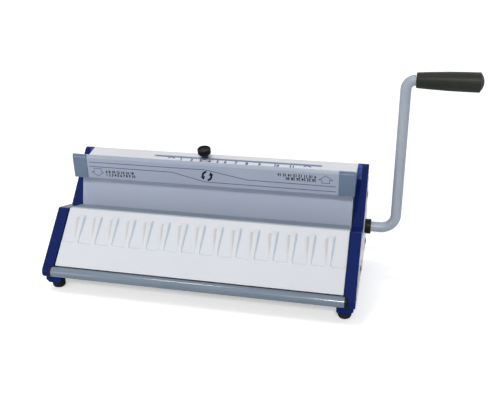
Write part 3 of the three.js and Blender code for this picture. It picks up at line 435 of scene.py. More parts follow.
def makeFinish(name, values):
    material, tree = newMaterial(name)
    surface = addNode(tree, "ShaderNodeBsdfPrincipled")
    addNode(tree, "ShaderNodeOutputMaterial", {"Surface": surface.outputs[0]})
    surface.inputs["Metallic"].default_value = values.get("metal", 0.0)
    surface.inputs["Coat Weight"].default_value = values.get("coat", 0.0)
    if "rim" in values:
        # lacquer mirrors its surroundings where it is seen almost from the side
        facing = addNode(tree, "ShaderNodeLayerWeight", {"Blend": 0.5}).outputs["Facing"]
        glancing = times(tree, ramp(tree, facing, lacquer["rimFrom"], lacquer["rimFull"]), values["rim"])
        glancing = calc(tree, "MAXIMUM", glancing, values.get("coat", 0.0))
        tree.links.new(glancing, surface.inputs["Coat Weight"])
    surface.inputs["Coat Roughness"].default_value = lacquer["rough"]
    surface.inputs["Specular IOR Level"].default_value = values.get("shine", 0.5)
    tone = effect(
        tree, "tone",
        Colour=linear(values["colour"]),
        Other_Colour=linear(values["other"]),
        Patch_Size=values["patch"] * millimetre,
        Amount=finishShares["tone"],
        Roughness=values["rough"],
    )
    # rounded edges turn lighter, partly worn and partly painted highlight
    rubbedAndLit = times(tree, effect(tree, "wear")["Mask"], values["wearAndHighlightShare"])
    colour = mixColour(tree, rubbedAndLit, tone["Colour"], linear(values["wear"]))
    if "corner" in values:
        # painted shade and a little grime in the inner corners
        reach, amount, shade = values["corner"]
        closed = effect(tree, "corner", Reach=reach * millimetre, Amount=amount)["Mask"]
        colour = mixColour(tree, closed, colour, linear(shade))
    # painted shade on the flanks of the fins and the rims of the pockets, from the shares that the relief
    # stores
    for label, shade in values.get("shades", {}).items():
        share = addNode(tree, "ShaderNodeAttribute", attribute_name=label).outputs["Fac"]
        colour = mixColour(tree, share, colour, linear(shade))
    if "dust" in values:
        settledDust = effect(tree, "dust", Amount=values["dust"])["Mask"]
        colour = mixColour(tree, settledDust, colour, linear(dustColour))
    if "brush" in values:
        width, length, depth = values["brush"]
        lines = effect(tree, "brush", Line_Width=width * millimetre, Line_Length=length * millimetre)
        height = lines["Height"]
        ground = mixColour(tree, finishShares["ground"], colour, linear(values["other"]))
        colour = mixColour(tree, lines["Tone"], ground, colour)
    else:
        size, depth = values["grain"]
        height = effect(tree, "grain", Grain_Size=size * millimetre)["Height"]
    inputs = {"Strength": finishShares["bump"], "Distance": depth * millimetre, "Height": height}
    bump = addNode(tree, "ShaderNodeBump", inputs)
    tree.links.new(colour, surface.inputs["Base Color"])
    tree.links.new(tone["Roughness"], surface.inputs["Roughness"])
    tree.links.new(bump.outputs[0], surface.inputs["Normal"])
    return material


finishes = {name: makeFinish(name, values) for name, values in finishValues.items()}
inkValues = {
    "lineInk": "50577F", "darkInk": "07080A", "textInk": "0E1018", "scaleInk": "4A5F8A",
    "slotInk": "BACDE9", "stripInk": "9DADBD",
}


inkLook = {"rough": 0.5, "shine": 0.15, "spot": 0.8, "thinShare": 0.4, "paler": 1.4, "lift": 0.005}


def makeInk(name, code):
    # print on a cover, a little uneven in its cover
    material, tree = newMaterial(name)
    inputs = {"Roughness": inkLook["rough"], "Specular IOR Level": inkLook["shine"]}
    surface = addNode(tree, "ShaderNodeBsdfPrincipled", inputs)
    addNode(tree, "ShaderNodeOutputMaterial", {"Surface": surface.outputs[0]})
    thin = ramp(tree, noise(tree, inkLook["spot"] * millimetre, detail=3.0), *spreads["ink"])
    thin = times(tree, thin, inkLook["thinShare"])
    full = linear(code)
    pale = [min(part * inkLook["paler"] + inkLook["lift"], 1) for part in full[:3]] + [1]
    tree.links.new(mixColour(tree, thin, full, pale), surface.inputs["Base Color"])
    return material


inks = {name: makeInk(name, code) for name, code in inkValues.items()}
print("finishes:", len(finishes) + len(inks))


# Outlines, as points in Y and Z or in two directions of a face

def point(first, second):
    return Vector((first, second))


def leaning(degrees):
    # up, and back by the angle
    return point(math.sin(math.radians(degrees)), math.cos(math.radians(degrees)))


def crossed(first, second):
    return first.x * second.y - first.y * second.x


def meet(first, alongFirst, second, alongSecond):
    return first + alongFirst * (crossed(second - first, alongSecond) / crossed(alongFirst, alongSecond))


def rounded(corners, steps=10):
    outline = []
    for index, (corner, radius) in enumerate(corners):
        if not radius:
            outline.append(corner.copy())
            continue
        back = (corners[index - 1][0] - corner).normalized()
        on = (corners[(index + 1) % len(corners)][0] - corner).normalized()
        half = math.acos(max(-1, min(1, back.dot(on)))) / 2
        centre = corner + (back + on).normalized() * radius / math.sin(half)
        start = corner + back * radius / math.tan(half) - centre
        turn = math.copysign(math.pi - 2 * half, crossed(on, back))
        for step in range(steps + 1):
            outline.append(Matrix.Rotation(turn * step / steps, 2) @ start + centre)
    return outline


def shifted(corners, distance, closed):
    # each edge is moved to its left by the distance
    count = len(corners)
    edges = []
    for index, corner in enumerate(corners):
        along = (corners[(index + 1) % count] - corner).normalized()
        left = point(-along.y, along.x)
        edges.append((corner + left * distance, along, left))
    moved = []
    for index, corner in enumerate(corners):
        before, after = edges[index - 1], edges[index]
        if not closed and index == 0:
            moved.append(after[0])
        elif not closed and index == count - 1:
            moved.append(corner + before[2] * distance)
        else:
            moved.append(meet(before[0], before[1], after[0], after[1]))
    return moved


def sheetOutline(path, wall, bends, steps=6):
    # a bent sheet: the path is its outer side, and its bends are rounded inside and out
    inner = shifted(path, wall, False)
    outerBends = [(corner, radius) for corner, radius in zip(path, bends)]
    innerBends = [(corner, max(radius - abs(wall), 0)) for corner, radius in zip(inner, bends)]
    return rounded(outerBends + innerBends[::-1], steps)


# Solids

sidesOf = {"pin": 32, "screw": 40, "rod": 48, "ring": 64, "handle": 72, "bar": 96}  # of round sections
mergeReach = {"solid": 1e-7, "node": 1e-6, "carved": 2e-6}  # metres
flatTurn = {"node": 1, "carved": 0.5}  # degrees between faces that count as one
smallest = {"radius": 1e-6, "edge": 1e-9, "step": 1e-4}  # what counts as none


def newObject(name, mesh):
    made = bpy.data.objects.new(name, mesh)
    scene.collection.objects.link(made)
    return made


def faceOut(mesh, reach=0):
    # corners nearer than the reach are merged, and every face looks out
    work = bmesh.new()
    work.from_mesh(mesh)
    if reach:
        bmesh.ops.remove_doubles(work, verts=work.verts, dist=reach)
    bmesh.ops.recalc_face_normals(work, faces=work.faces)
    work.to_mesh(mesh)
    work.free()


def solid(name, corners, faces, place=machine):
    mesh = bpy.data.meshes.new(name)
    mesh.from_pydata([place @ Vector(corner) for corner in corners], [], faces)
    faceOut(mesh, mergeReach["solid"])
    return newObject(name, mesh)


def prism(name, outline, low, high, place=machine, axis="X"):
    # an outline in Y and Z carried along X, or one in X and Y carried along Z
    def corner(spot, reach):
        return (reach, spot.x, spot.y) if axis == "X" else (spot.x, spot.y, reach)

    count = len(outline)
    corners = [corner(spot, reach) for reach in (low, high) for spot in outline]
    faces = [list(range(count)), list(range(2 * count - 1, count - 1, -1))]
    for index in range(count):
        following = (index + 1) % count
        faces.append([index, following, following + count, index + count])
    return solid(name, corners, faces, place)


def block(name, low, high, place=machine):
    corners = [(low[1], low[2]), (high[1], low[2]), (high[1], high[2]), (low[1], high[2])]
    return prism(name, [point(*corner) for corner in corners], low[0], high[0], place)


def turned(name, profile, sides, place=machine, axis="X", centre=(0, 0, 0)):
    # a closed profile of [radius, distance along the axis] turned about that axis
    corners, rings = [], []
    for radius, reach in profile:
        ring = []
        for step in range(sides if radius > smallest["radius"] else 1):
            angle = 2 * math.pi * step / sides
            across, up = radius * math.cos(angle), radius * math.sin(angle)
            spot = (reach, across, up) if axis == "X" else (across, up, reach)
            ring.append(len(corners))
            corners.append(Vector(spot) + Vector(centre))
        rings.append(ring)
    faces = []
    for index, ring in enumerate(rings):
        other = rings[(index + 1) % len(rings)]
        if len(ring) == 1 and len(other) == 1:
            continue
        for step in range(sides):
            following = (step + 1) % sides
            face = [ring[step % len(ring)], ring[following % len(ring)]]
            face += [other[following % len(other)], other[step % len(other)]]
            faces.append(list(dict.fromkeys(face)))
    return solid(name, corners, faces, place)


def turnedProfile(corners, steps=6):
    # corners are (radius, distance, rounding); the outline goes once round the section
    bends = [(point(radius, distance), rounding) for radius, distance, rounding in corners]
    return [tuple(spot) for spot in rounded(bends, steps)]


def settled(made):
    # what the modifiers make becomes the object's own mesh
    bpy.context.view_layer.update()
    graph = bpy.context.evaluated_depsgraph_get()
    shown = made.evaluated_get(graph)
    mesh = bpy.data.meshes.new_from_object(shown, preserve_all_data_layers=True, depsgraph=graph)
    made.modifiers.clear()
    made.data = mesh
    return made


def carved(made, *tools, operation="DIFFERENCE"):
    for tool in tools:
        modifier = made.modifiers.new(tool.name, "BOOLEAN")
        modifier.operation = operation
        modifier.solver = "EXACT"
        modifier.object = tool
    settled(made)
    for tool in tools:
        bpy.data.objects.remove(tool)
    work = bmesh.new()
    work.from_mesh(made.data)
    bmesh.ops.remove_doubles(work, verts=work.verts, dist=mergeReach["carved"])
    bmesh.ops.dissolve_degenerate(work, edges=work.edges, dist=mergeReach["carved"])
    flat = math.radians(flatTurn["carved"])
    bmesh.ops.dissolve_limit(work, angle_limit=flat, verts=work.verts, edges=work.edges)
    work.to_mesh(made.data)
    work.free()
    return made


def softened(made, width, segments=3, angle=32):
    # edges sharper than the angle are rounded, and flat faces stay flat in the light
    for face in made.data.polygons:
        face.use_smooth = True
    modifier = made.modifiers.new("edges", "BEVEL")
    modifier.width = width * millimetre
    modifier.segments = segments
    modifier.limit_method = "ANGLE"
    modifier.angle_limit = math.radians(angle)
    modifier.harden_normals = True
    modifier.loop_slide = False
    return settled(made)


def creased(made, angle=35):
    for face in made.data.polygons:
        face.use_smooth = True
    made.data.set_sharp_from_angle(angle=math.radians(angle))
    return made


def joined(name, *parts):
    work = bmesh.new()
    for part in parts:
        work.from_mesh(part.data)
    mesh = bpy.data.meshes.new(name)
    work.to_mesh(mesh)
    work.free()
    for part in parts:
        bpy.data.objects.remove(part)
    return newObject(name, mesh)


edgeTurn = {"from": 0.2, "full": 0.7, "narrow": 0.05}  # radians in a millimetre across the face


def markEdges(mesh):
    # every face says how tightly it is rounded, from 0 on a flat to 1 on a small outer edge
    work = bmesh.new()
    work.from_mesh(mesh)
    layer = work.faces.layers.float.new("edge")
    for face in work.faces:
        longest = max(edge.calc_length() for edge in face.edges)
        across = max(face.calc_area() / max(longest, smallest["edge"]) / millimetre, edgeTurn["narrow"])
        long = [edge for edge in face.edges if edge.calc_length() > longest / 2]
        turn = max(edge.calc_face_angle_signed(0) for edge in long)
        share = (turn / across - edgeTurn["from"]) / (edgeTurn["full"] - edgeTurn["from"])
        face[layer] = min(max(share, 0), 1)
    work.to_mesh(mesh)
    work.free()


def finished(made, finish, *nodes):
    # gives the piece its finish and its body, and lets it stand for its nodes
    markEdges(made.data)
    made.data.materials.clear()
    made.data.materials.append(finishes[finish])
    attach(made, bodyOf[nodes[0]])
    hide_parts(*nodes)
    return made


def titled(node):
    # slide_carrier_left becomes slideCarrierLeft
    words = node.split("_")
    return words[0] + "".join(word.title() for word in words[1:])


def turnedPiece(node, finish, sides, profile, place=machine, axis="X", centre=(0, 0, 0), angle=35):
    made = turned(titled(node), profile, sides, place, axis, centre)
    return finished(creased(made, angle), finish, node)


def attached(node, *prints):
    # prints ride with the piece that they are on
    for made in prints:
        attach(made, bodyOf[node])


def refined(node, width, finish, segments=2):
    # the node's own shape with its edges broken, as sheet and machined pieces have them
    work = bmesh.new()
    work.from_mesh(frame["nodes"][node].data)
    bmesh.ops.remove_doubles(work, verts=work.verts, dist=mergeReach["node"])
    flat = math.radians(flatTurn["node"])
    bmesh.ops.dissolve_limit(work, angle_limit=flat, verts=work.verts, edges=work.edges)
    mesh = bpy.data.meshes.new(titled(node))
    work.to_mesh(mesh)
    work.free()
    return finished(softened(newObject(titled(node), mesh), width, segments), finish, node)


def newTree(name, inputs):
    # a geometry node tree whose inputs after the mesh are named sizes
    tree = bpy.data.node_groups.new(name, "GeometryNodeTree")
    tree.interface.new_socket("Mesh", in_out="INPUT", socket_type="NodeSocketGeometry")
    for label, kind in inputs.items():
        tree.interface.new_socket(label, in_out="INPUT", socket_type="NodeSocket" + kind)
    tree.interface.new_socket("Mesh", in_out="OUTPUT", socket_type="NodeSocketGeometry")
    return tree, addNode(tree, "NodeGroupInput").outputs


def closeTree(tree, mesh):
    real = addNode(tree, "GeometryNodeRealizeInstances", {0: mesh}).outputs[0]
    given = [node for node in tree.nodes if node.bl_idname == "NodeGroupInput"][0].outputs
    dressed = addNode(tree, "GeometryNodeSetMaterial", {"Geometry": real, "Material": given["Finish"]})
    addNode(tree, "NodeGroupOutput", {0: dressed.outputs[0]})


def grown(made, tree, values):
    # runs the tree on the object with these values and keeps the result
    modifier = made.modifiers.new(tree.name, "NODES")
    modifier.node_group = tree
    for item in tree.interface.items_tree:
        if item.in_out == "INPUT" and item.name in values:
            modifier[item.identifier] = values[item.name]
    return settled(made)


def placed(made, place):
    made.data.transform(place)


def faceFrame(foot, up, place=machine):
    # X along the machine, Y up the face, Z out of it; the foot and up are points in Y and Z
    across = Vector((1, 0, 0))
    rising = Vector((0, up.x, up.y))
    matrix = Matrix([across, rising, across.cross(rising)]).transposed().to_4x4()
    return place @ Matrix.Translation((0, foot.x, foot.y)) @ matrix


# Places that several pieces share

body = {"bottomZ": -17, "topZ": 128.3, "frontLean": 42.5, "thick": 15.7}
head = {"lean": 12.4, "y": 101.4, "z": 56.7}
crank = {
    "y": 132, "z": 45.9, "tubeRadius": 7.1, "armOffset": 41.6, "armHeight": 209.3, "lowBend": 20,
    "highBend": 12, "shaftShort": 2.4, "tenonRadius": 4, "tenonLength": 16, "spindleRadius": 4,
    "firstRing": 1, "lowSteps": 16, "highSteps": 12, "shaftInset": 0.5, "crease": 40,
}
axleCentre = (0, crank["y"], crank["z"])
upFront = leaning(body["frontLean"])
outFront = point(-upFront.y, upFront.x)
upRest = leaning(head["lean"])
backRest = point(upRest.y, -upRest.x)
headFoot = point(head["y"], head["z"])
headTurn = Matrix.Rotation(math.radians(-head["lean"]), 4, "X")
leaningHead = machine @ Matrix.Translation((0, head["y"], head["z"])) @ headTurn
coverCorner = meet(point(0, 0), upFront, headFoot, backRest)
outerHalf = innerHalf + body["thick"]
sides = {"left": -1, "right": 1}
slopeFace = faceFrame(point(0, 0), upFront)
alongY = machine @ Matrix(((1, 0, 0, 0), (0, 0, 1, 0), (0, 1, 0, 0), (0, 0, 0, 1)))


def fromHead(back, up):
    return headFoot + backRest * back + upRest * up


# Side frames, their covers and screws

sideFrame = {
    "proud": 1, "noseRadius": 8.7, "edgeRadius": 2.5, "stepRadius": 3, "topRadius": 6, "ledgeDrop": 0.5,
    "stepAhead": 2.8, "upperLean": 40, "topLength": 7.5, "rearLean": 13, "rearRadius": 9, "rim": 1.9,
    "edge": 1.1, "bevelWide": 6.5, "bevelDeep": 3.5, "bevelBeyond": 0.3, "bevelHighlight": 4,
    "bevelSpread": 3.6, "bevelFromZ": 111, "padDrop": 3, "padShort": 0.01, "padMargin": 1.2, "lipDrop": 8.5,
    "lipThick": 2.6, "lipChamfer": 4.2,
}
sideCover = {"inset": 8.5, "thick": 2.6, "proud": 0.6, "radius": 5, "edge": 0.9}
screw = {
    "radius": 4.8, "headThick": 0.5, "stemRadius": 2, "stemLength": 9, "cross": 4.6, "crossWide": 0.9,
    "roundShare": 0.8, "floorShare": 0.35, "crease": 30,
}
frontBar = {"radius": 7.3, "wall": 1.5, "ringThick": 3, "ringProud": 0.3, "spigot": 6}
foot = {"radius": 9, "rimHeight": 3.8, "crown": 7.4, "crownHeight": 1.2, "flat": 4}
bush = {"radius": 9.3, "bore": 7.4, "flange": 10.6, "mouth": 0.9, "mouthDeep": 1.2}
sideCoverX = outerHalf + sideCover["proud"]
recessX = sideCoverX - sideCover["thick"] - gap


def frameCorners():
    front = outFront * sideFrame["proud"]
    level = point(1, 0)
    ledgeLine = fromHead(0, -sideFrame["ledgeDrop"])
    step = fromHead(-sideFrame["stepAhead"], -sideFrame["ledgeDrop"])
    floorLine = point(0, body["bottomZ"])
    topFront = meet(step, leaning(sideFrame["upperLean"]), point(0, body["topZ"]), level)
    topRear = topFront + point(sideFrame["topLength"], 0)
    rear = leaning(-sideFrame["rearLean"])
    return [
        (meet(front, upFront, floorLine, level), sideFrame["noseRadius"]),
        (meet(topRear, rear, floorLine, level), sideFrame["rearRadius"]),
        (topRear, sideFrame["topRadius"] / 2),
        (topFront, sideFrame["topRadius"]),
        (step, sideFrame["stepRadius"]),
        (meet(front, upFront, ledgeLine, backRest), sideFrame["edgeRadius"]),
    ]


def sideOutline(inset):
    nose, heel, topRear, _, step, coverEdge = [corner for corner, _ in frameCorners()]
    apex = meet(step, leaning(sideFrame["upperLean"]), topRear, leaning(-sideFrame["rearLean"]))
    corners = shifted([nose, heel, apex, step, coverEdge], inset, True)
    return rounded([(corner, sideCover["radius"]) for corner in corners])


def footBlock(name, side, footNode, outward):
    # the pad above a foot, with the lips that hide it from the outside and the end
    centre = middleOf(footNode)
    reach = foot["radius"] + sideFrame["padMargin"]
    under = body["bottomZ"] - sideFrame["padDrop"]
    lipEnd = body["bottomZ"] - sideFrame["lipDrop"]
    outer = side * (abs(centre.x) + foot["radius"] + gap + sideFrame["lipThick"])
    inner = side * (abs(centre.x) - reach)
    edge = centre.y + outward * (reach + sideFrame["lipThick"])
    start = centre.y - outward * reach
    chamfer = sideFrame["lipChamfer"]
    root = block(name, (side * innerHalf, start, under), (outer, edge, body["bottomZ"] + overrun))
    pad = block(name, (inner, start, under), (outer, edge, body["bottomZ"] - sideFrame["padShort"]))
    lipPath = [
        point(inner, under + overrun),
        point(inner, lipEnd + chamfer / 2),
        point(inner + side * chamfer / 2, lipEnd),
        point(outer - side * chamfer, lipEnd),
        point(outer, lipEnd + chamfer),
        point(outer, under + overrun),
    ]
    lip = prism(name, lipPath, centre.y + outward * reach, edge, alongY, axis="Z")
    skirtPath = [
        point(start, under + overrun),
        point(start, lipEnd + chamfer / 2),
        point(start + outward * chamfer / 2, lipEnd),
        point(edge, lipEnd),
        point(edge, under + overrun),
    ]
    skirt = prism(name, skirtPath, outer - side * sideFrame["lipThick"], outer)
    # the lower outer corner of the skirt is cut in line with the chamfer of the lip
    cutPath = [
        point(outer + side * overrun, lipEnd - overrun),
        point(outer + side * overrun, lipEnd + chamfer + overrun),
        point(outer - side * (chamfer + overrun), lipEnd - overrun),
    ]
    cut = prism(name, cutPath, min(start, edge) - overrun, max(start, edge) + overrun, alongY, axis="Z")
    return [root, pad, lip, carved(skirt, cut)]


def rodProfile(radius, low, high):
    return [(0, low), (radius, low), (radius, high), (0, high)]


def bore(side, radius, low, high, sides, centre):
    # a round cutting tool along X, between two distances from the middle of the machine
    return turned("bore", rodProfile(radius, *sorted((side * low, side * high))), sides, centre=centre)


def paintedHighlight(made, direction, value):
    # painted highlight: the faces that look in this direction take the lighter edge colour, as if they
    # caught the light
    layer = made.data.attributes["edge"].data
    for face in made.data.polygons:
        if face.normal.angle(direction) < math.radians(sideFrame["bevelSpread"]):
            layer[face.index].value = value


def buildSideFrame(name, side):
    node = "side_frame_" + name
    shell = prism(titled(node), rounded(frameCorners()), side * innerHalf, side * outerHalf)
    step, lean = frameCorners()[4][0], leaning(sideFrame["upperLean"])
    notchStart = meet(step, lean, point(0, sideFrame["bevelFromZ"]), point(1, 0))
    tilt = Matrix.Rotation(math.radians(-sideFrame["upperLean"]), 4, "X")
    notchPlace = machine @ Matrix.Translation((side * innerHalf, notchStart.x, notchStart.y)) @ tilt
    wide, deep, beyond = sideFrame["bevelWide"], sideFrame["bevelDeep"], sideFrame["bevelBeyond"]
    corner = [
        point(side * wide * (1 + beyond), -deep * beyond),
        point(-side * wide * beyond, deep * (1 + beyond)),
        point(-side * wide * beyond, -deep * beyond),
    ]
    carved(shell, prism("notch", corner, 0, body["topZ"], notchPlace, axis="Z"))
    softened(shell, sideFrame["rim"], 5)
    pads = footBlock("frontPad", side, "foot_front_" + name, -1)
    pads += footBlock("rearPad", side, "foot_rear_" + name, 1)
    carved(shell, *pads, operation="UNION")
    barMiddle = middleOf("front_bar")
    socketRadius = frontBar["radius"] + frontBar["ringProud"] + gap
    socketEnd = boxOf("bar_ring_right")[1].x + gap
    around = (0, barMiddle.y, barMiddle.z)
    through = innerHalf - overrun, outerHalf + overrun
    reach = sorted((side * recessX, side * (outerHalf + overrun)))
    carved(
        shell,
        bore(side, socketRadius, innerHalf - overrun, socketEnd, sidesOf["ring"], around),
        prism("recess", sideOutline(sideCover["inset"] - gap), *reach),
        bore(side, bush["radius"] + gap, *through, sidesOf["rod"], axleCentre),
    )
    finished(softened(shell, sideFrame["edge"], 4), "blueShell", node)
    # a painted highlight on the facet of the notch
    paintedHighlight(shell, Vector((-side * deep, -wide * lean.y, wide * lean.x)), sideFrame["bevelHighlight"])


def buildSideCover(name, side):
    node = "side_cover_" + name
    reach = sorted((side * (recessX + gap), side * sideCoverX))
    panel = prism(titled(node), sideOutline(sideCover["inset"]), *reach)
    holes = []
    for index in (1, 2, 3):
        centre = middleOf("side_screw_%s_%d" % (name, index))
        holes.append((screw["stemRadius"], sidesOf["pin"], (0, centre.y, centre.z)))
    if side > 0:
        holes.append((bush["radius"], sidesOf["rod"], axleCentre))
    tools = []
    for radius, sidesRound, centre in holes:
        tools.append(bore(side, radius + gap, recessX, sideCoverX + overrun, sidesRound, centre))
    carved(panel, *tools)
    finished(softened(panel, sideCover["edge"]), "sidePanel", node)


def makeScrewTree():
    # a screw on each point, its head turned away from the middle of the machine
    inputs = {"Screw": "Object", "Finish": "Material"}
    tree, given = newTree("sideScrews", inputs)
    spots = addNode(tree, "GeometryNodeMeshToPoints", {"Mesh": given["Mesh"]}).outputs[0]
    template = addNode(tree, "GeometryNodeObjectInfo", {"Object": given["Screw"]}).outputs["Geometry"]
    place = addNode(tree, "GeometryNodeInputPosition").outputs[0]
    turn = vector(tree, Y=times(tree, calc(tree, "SIGN", split(tree, place)["X"]), math.pi / 2))
    turn = addNode(tree, "FunctionNodeEulerToRotation", {0: turn}).outputs[0]
    inputs = {"Points": spots, "Instance": template, "Rotation": turn}
    closeTree(tree, addNode(tree, "GeometryNodeInstanceOnPoints", inputs).outputs[0])
    return tree


def buildScrews():
    # one screw is made pointing up Z, with its seat at the origin
    plain = Matrix.Identity(4)
    profile = turnedProfile([
        (0, screw["headThick"], 0),
        (screw["radius"], screw["headThick"], screw["headThick"] * screw["roundShare"]),
        (screw["radius"], 0, 0),
        (screw["stemRadius"], 0, 0),
        (screw["stemRadius"], -screw["stemLength"], 0.4),
        (0, -screw["stemLength"], 0),
    ])
    template = turned("screw", profile, sidesOf["screw"], plain, axis="Z")
    wide, long = screw["crossWide"] / 2, screw["cross"] / 2
    floor, top = screw["headThick"] * screw["floorShare"], screw["headThick"] + overrun
    bars = [
        block("cross", (-long, -wide, floor), (long, wide, top), plain),
        block("cross", (-wide, -long, floor), (wide, long, top), plain),
    ]
    carved(template, *bars)
    creased(template, screw["crease"])
    nodes = ["side_screw_%s_%d" % (name, index) for name in sides for index in (1, 2, 3)]
    spots = []
    for node in nodes:
        centre = middleOf(node)
        spots.append((math.copysign(sideCoverX + gap, centre.x), centre.y, centre.z))
    mesh = bpy.data.meshes.new("sideScrews")
    mesh.from_pydata(spots, [], [])
    screws = newObject("sideScrews", mesh)
    values = {"Screw": template, "Finish": finishes["blackPlastic"]}
    placed(grown(screws, makeScrewTree(), values), machine)
    bpy.data.objects.remove(template)
    finished(screws, "blackPlastic", *nodes)


for name, side in sides.items():
    buildSideFrame(name, side)
    buildSideCover(name, side)
buildScrews()
print("side frames, side covers and screws")


# Feet, base plate, front bar and its rings

def buildFoot(node):
    low, high = boxOf(node)
    centre = (low + high) / 2
    profile = turnedProfile([
        (0, high.z, 0),
        (foot["radius"], high.z, 0.6),
        (foot["radius"], low.z + foot["rimHeight"], 3),
        (foot["crown"], low.z + foot["crownHeight"], 2.5),
        (foot["flat"], low.z, 0.8),
        (0, low.z, 0),
    ])
    turnedPiece(node, "rubberFoot", sidesOf["rod"], profile, axis="Z", centre=(centre.x, centre.y, 0))


for node in ("foot_front_left", "foot_front_right", "foot_rear_left", "foot_rear_right"):
    buildFoot(node)
refined("base_plate", 0.4, "brushedSteel")

barLow, barHigh = boxOf("front_bar")
barCentre = (0, (barLow.y + barHigh.y) / 2, (barLow.z + barHigh.z) / 2)
barProfile = turnedProfile([
    (frontBar["radius"] - frontBar["wall"], barLow.x, 0),
    (frontBar["radius"], barLow.x, 0.4),
    (frontBar["radius"], barHigh.x, 0.4),
    (frontBar["radius"] - frontBar["wall"], barHigh.x, 0),
])
turnedPiece("front_bar", "slateBar", sidesOf["bar"], barProfile, centre=barCentre)
ringRadius = frontBar["radius"] + frontBar["ringProud"]
spigotRadius = frontBar["radius"] - frontBar["wall"] - gap
for name, side in sides.items():
    ringStart = side * (barHigh.x + gap)
    ringEnd = side * (barHigh.x + gap + frontBar["ringThick"])
    spigotEnd = side * (barHigh.x + gap - frontBar["spigot"])
    profile = turnedProfile([
        (0, spigotEnd, 0),
        (spigotRadius, spigotEnd, 0.6),
        (spigotRadius, ringStart, 0),
        (ringRadius, ringStart, 0.5),
        (ringRadius, ringEnd, 0.5),
        (0, ringEnd, 0),
    ])
    turnedPiece("bar_ring_" + name, "blackPlastic", sidesOf["ring"], profile, centre=barCentre)
print("feet, base plate and front bar")


# Front cover: a moulded shell whose fins and pockets grow out of its slope

frontCover = {
    "wall": 2.5, "topRadius": 3, "lip": 9, "foot": 9, "lowRadius": 1.2, "leftRound": 1.0,
    "rightRound": 0.3, "leftGap": 0.9, "crease": 28,
}
fin = {
    "Pitch": inch, "Land Half": 2.0, "Low Flank": 1.5, "High Flank": 3.9, "Start": 37.0, "End": 72.0,
    "High Height": 2.4, "Tip Run": 11.0, "Shade End": 79.4, "Warm End": 76.2, "Pocket Edge": 2.1,
    "Pocket Foot": 36.6, "Pocket Depth": 1.1, "Pocket Corner": 3.4, "Pocket Run": 1.2, "Pocket Top": 78.0,
}
finMargin = 12  # beside the last fin
# how the painted shade spreads over the flanks of the fins
finShade = {
    "coolFlank": (0.2, 0.55), "flankEnd": 0.99, "coolRise": (0.05, 0.5), "warmRise": (0.05, 0.7),
    "warmReach": 1.6,
}
coverGrid = {
    "rows": [(35.5, 0.5, 13), (42.5, 1.5, 24), (77.6, 0.6, 10)],  # first, step and count, up the slope
    "columns": [0, 1.5, 2.0, 2.3, 2.6, 2.9, 3.2, 3.5, 3.8, 4.1, 4.5, 4.9, 5.3, 5.7, 6.2, 7.2, 9.5, 12.7],
    "endSteps": 4, "endGap": 0.2, "foldSteps": 8,
}


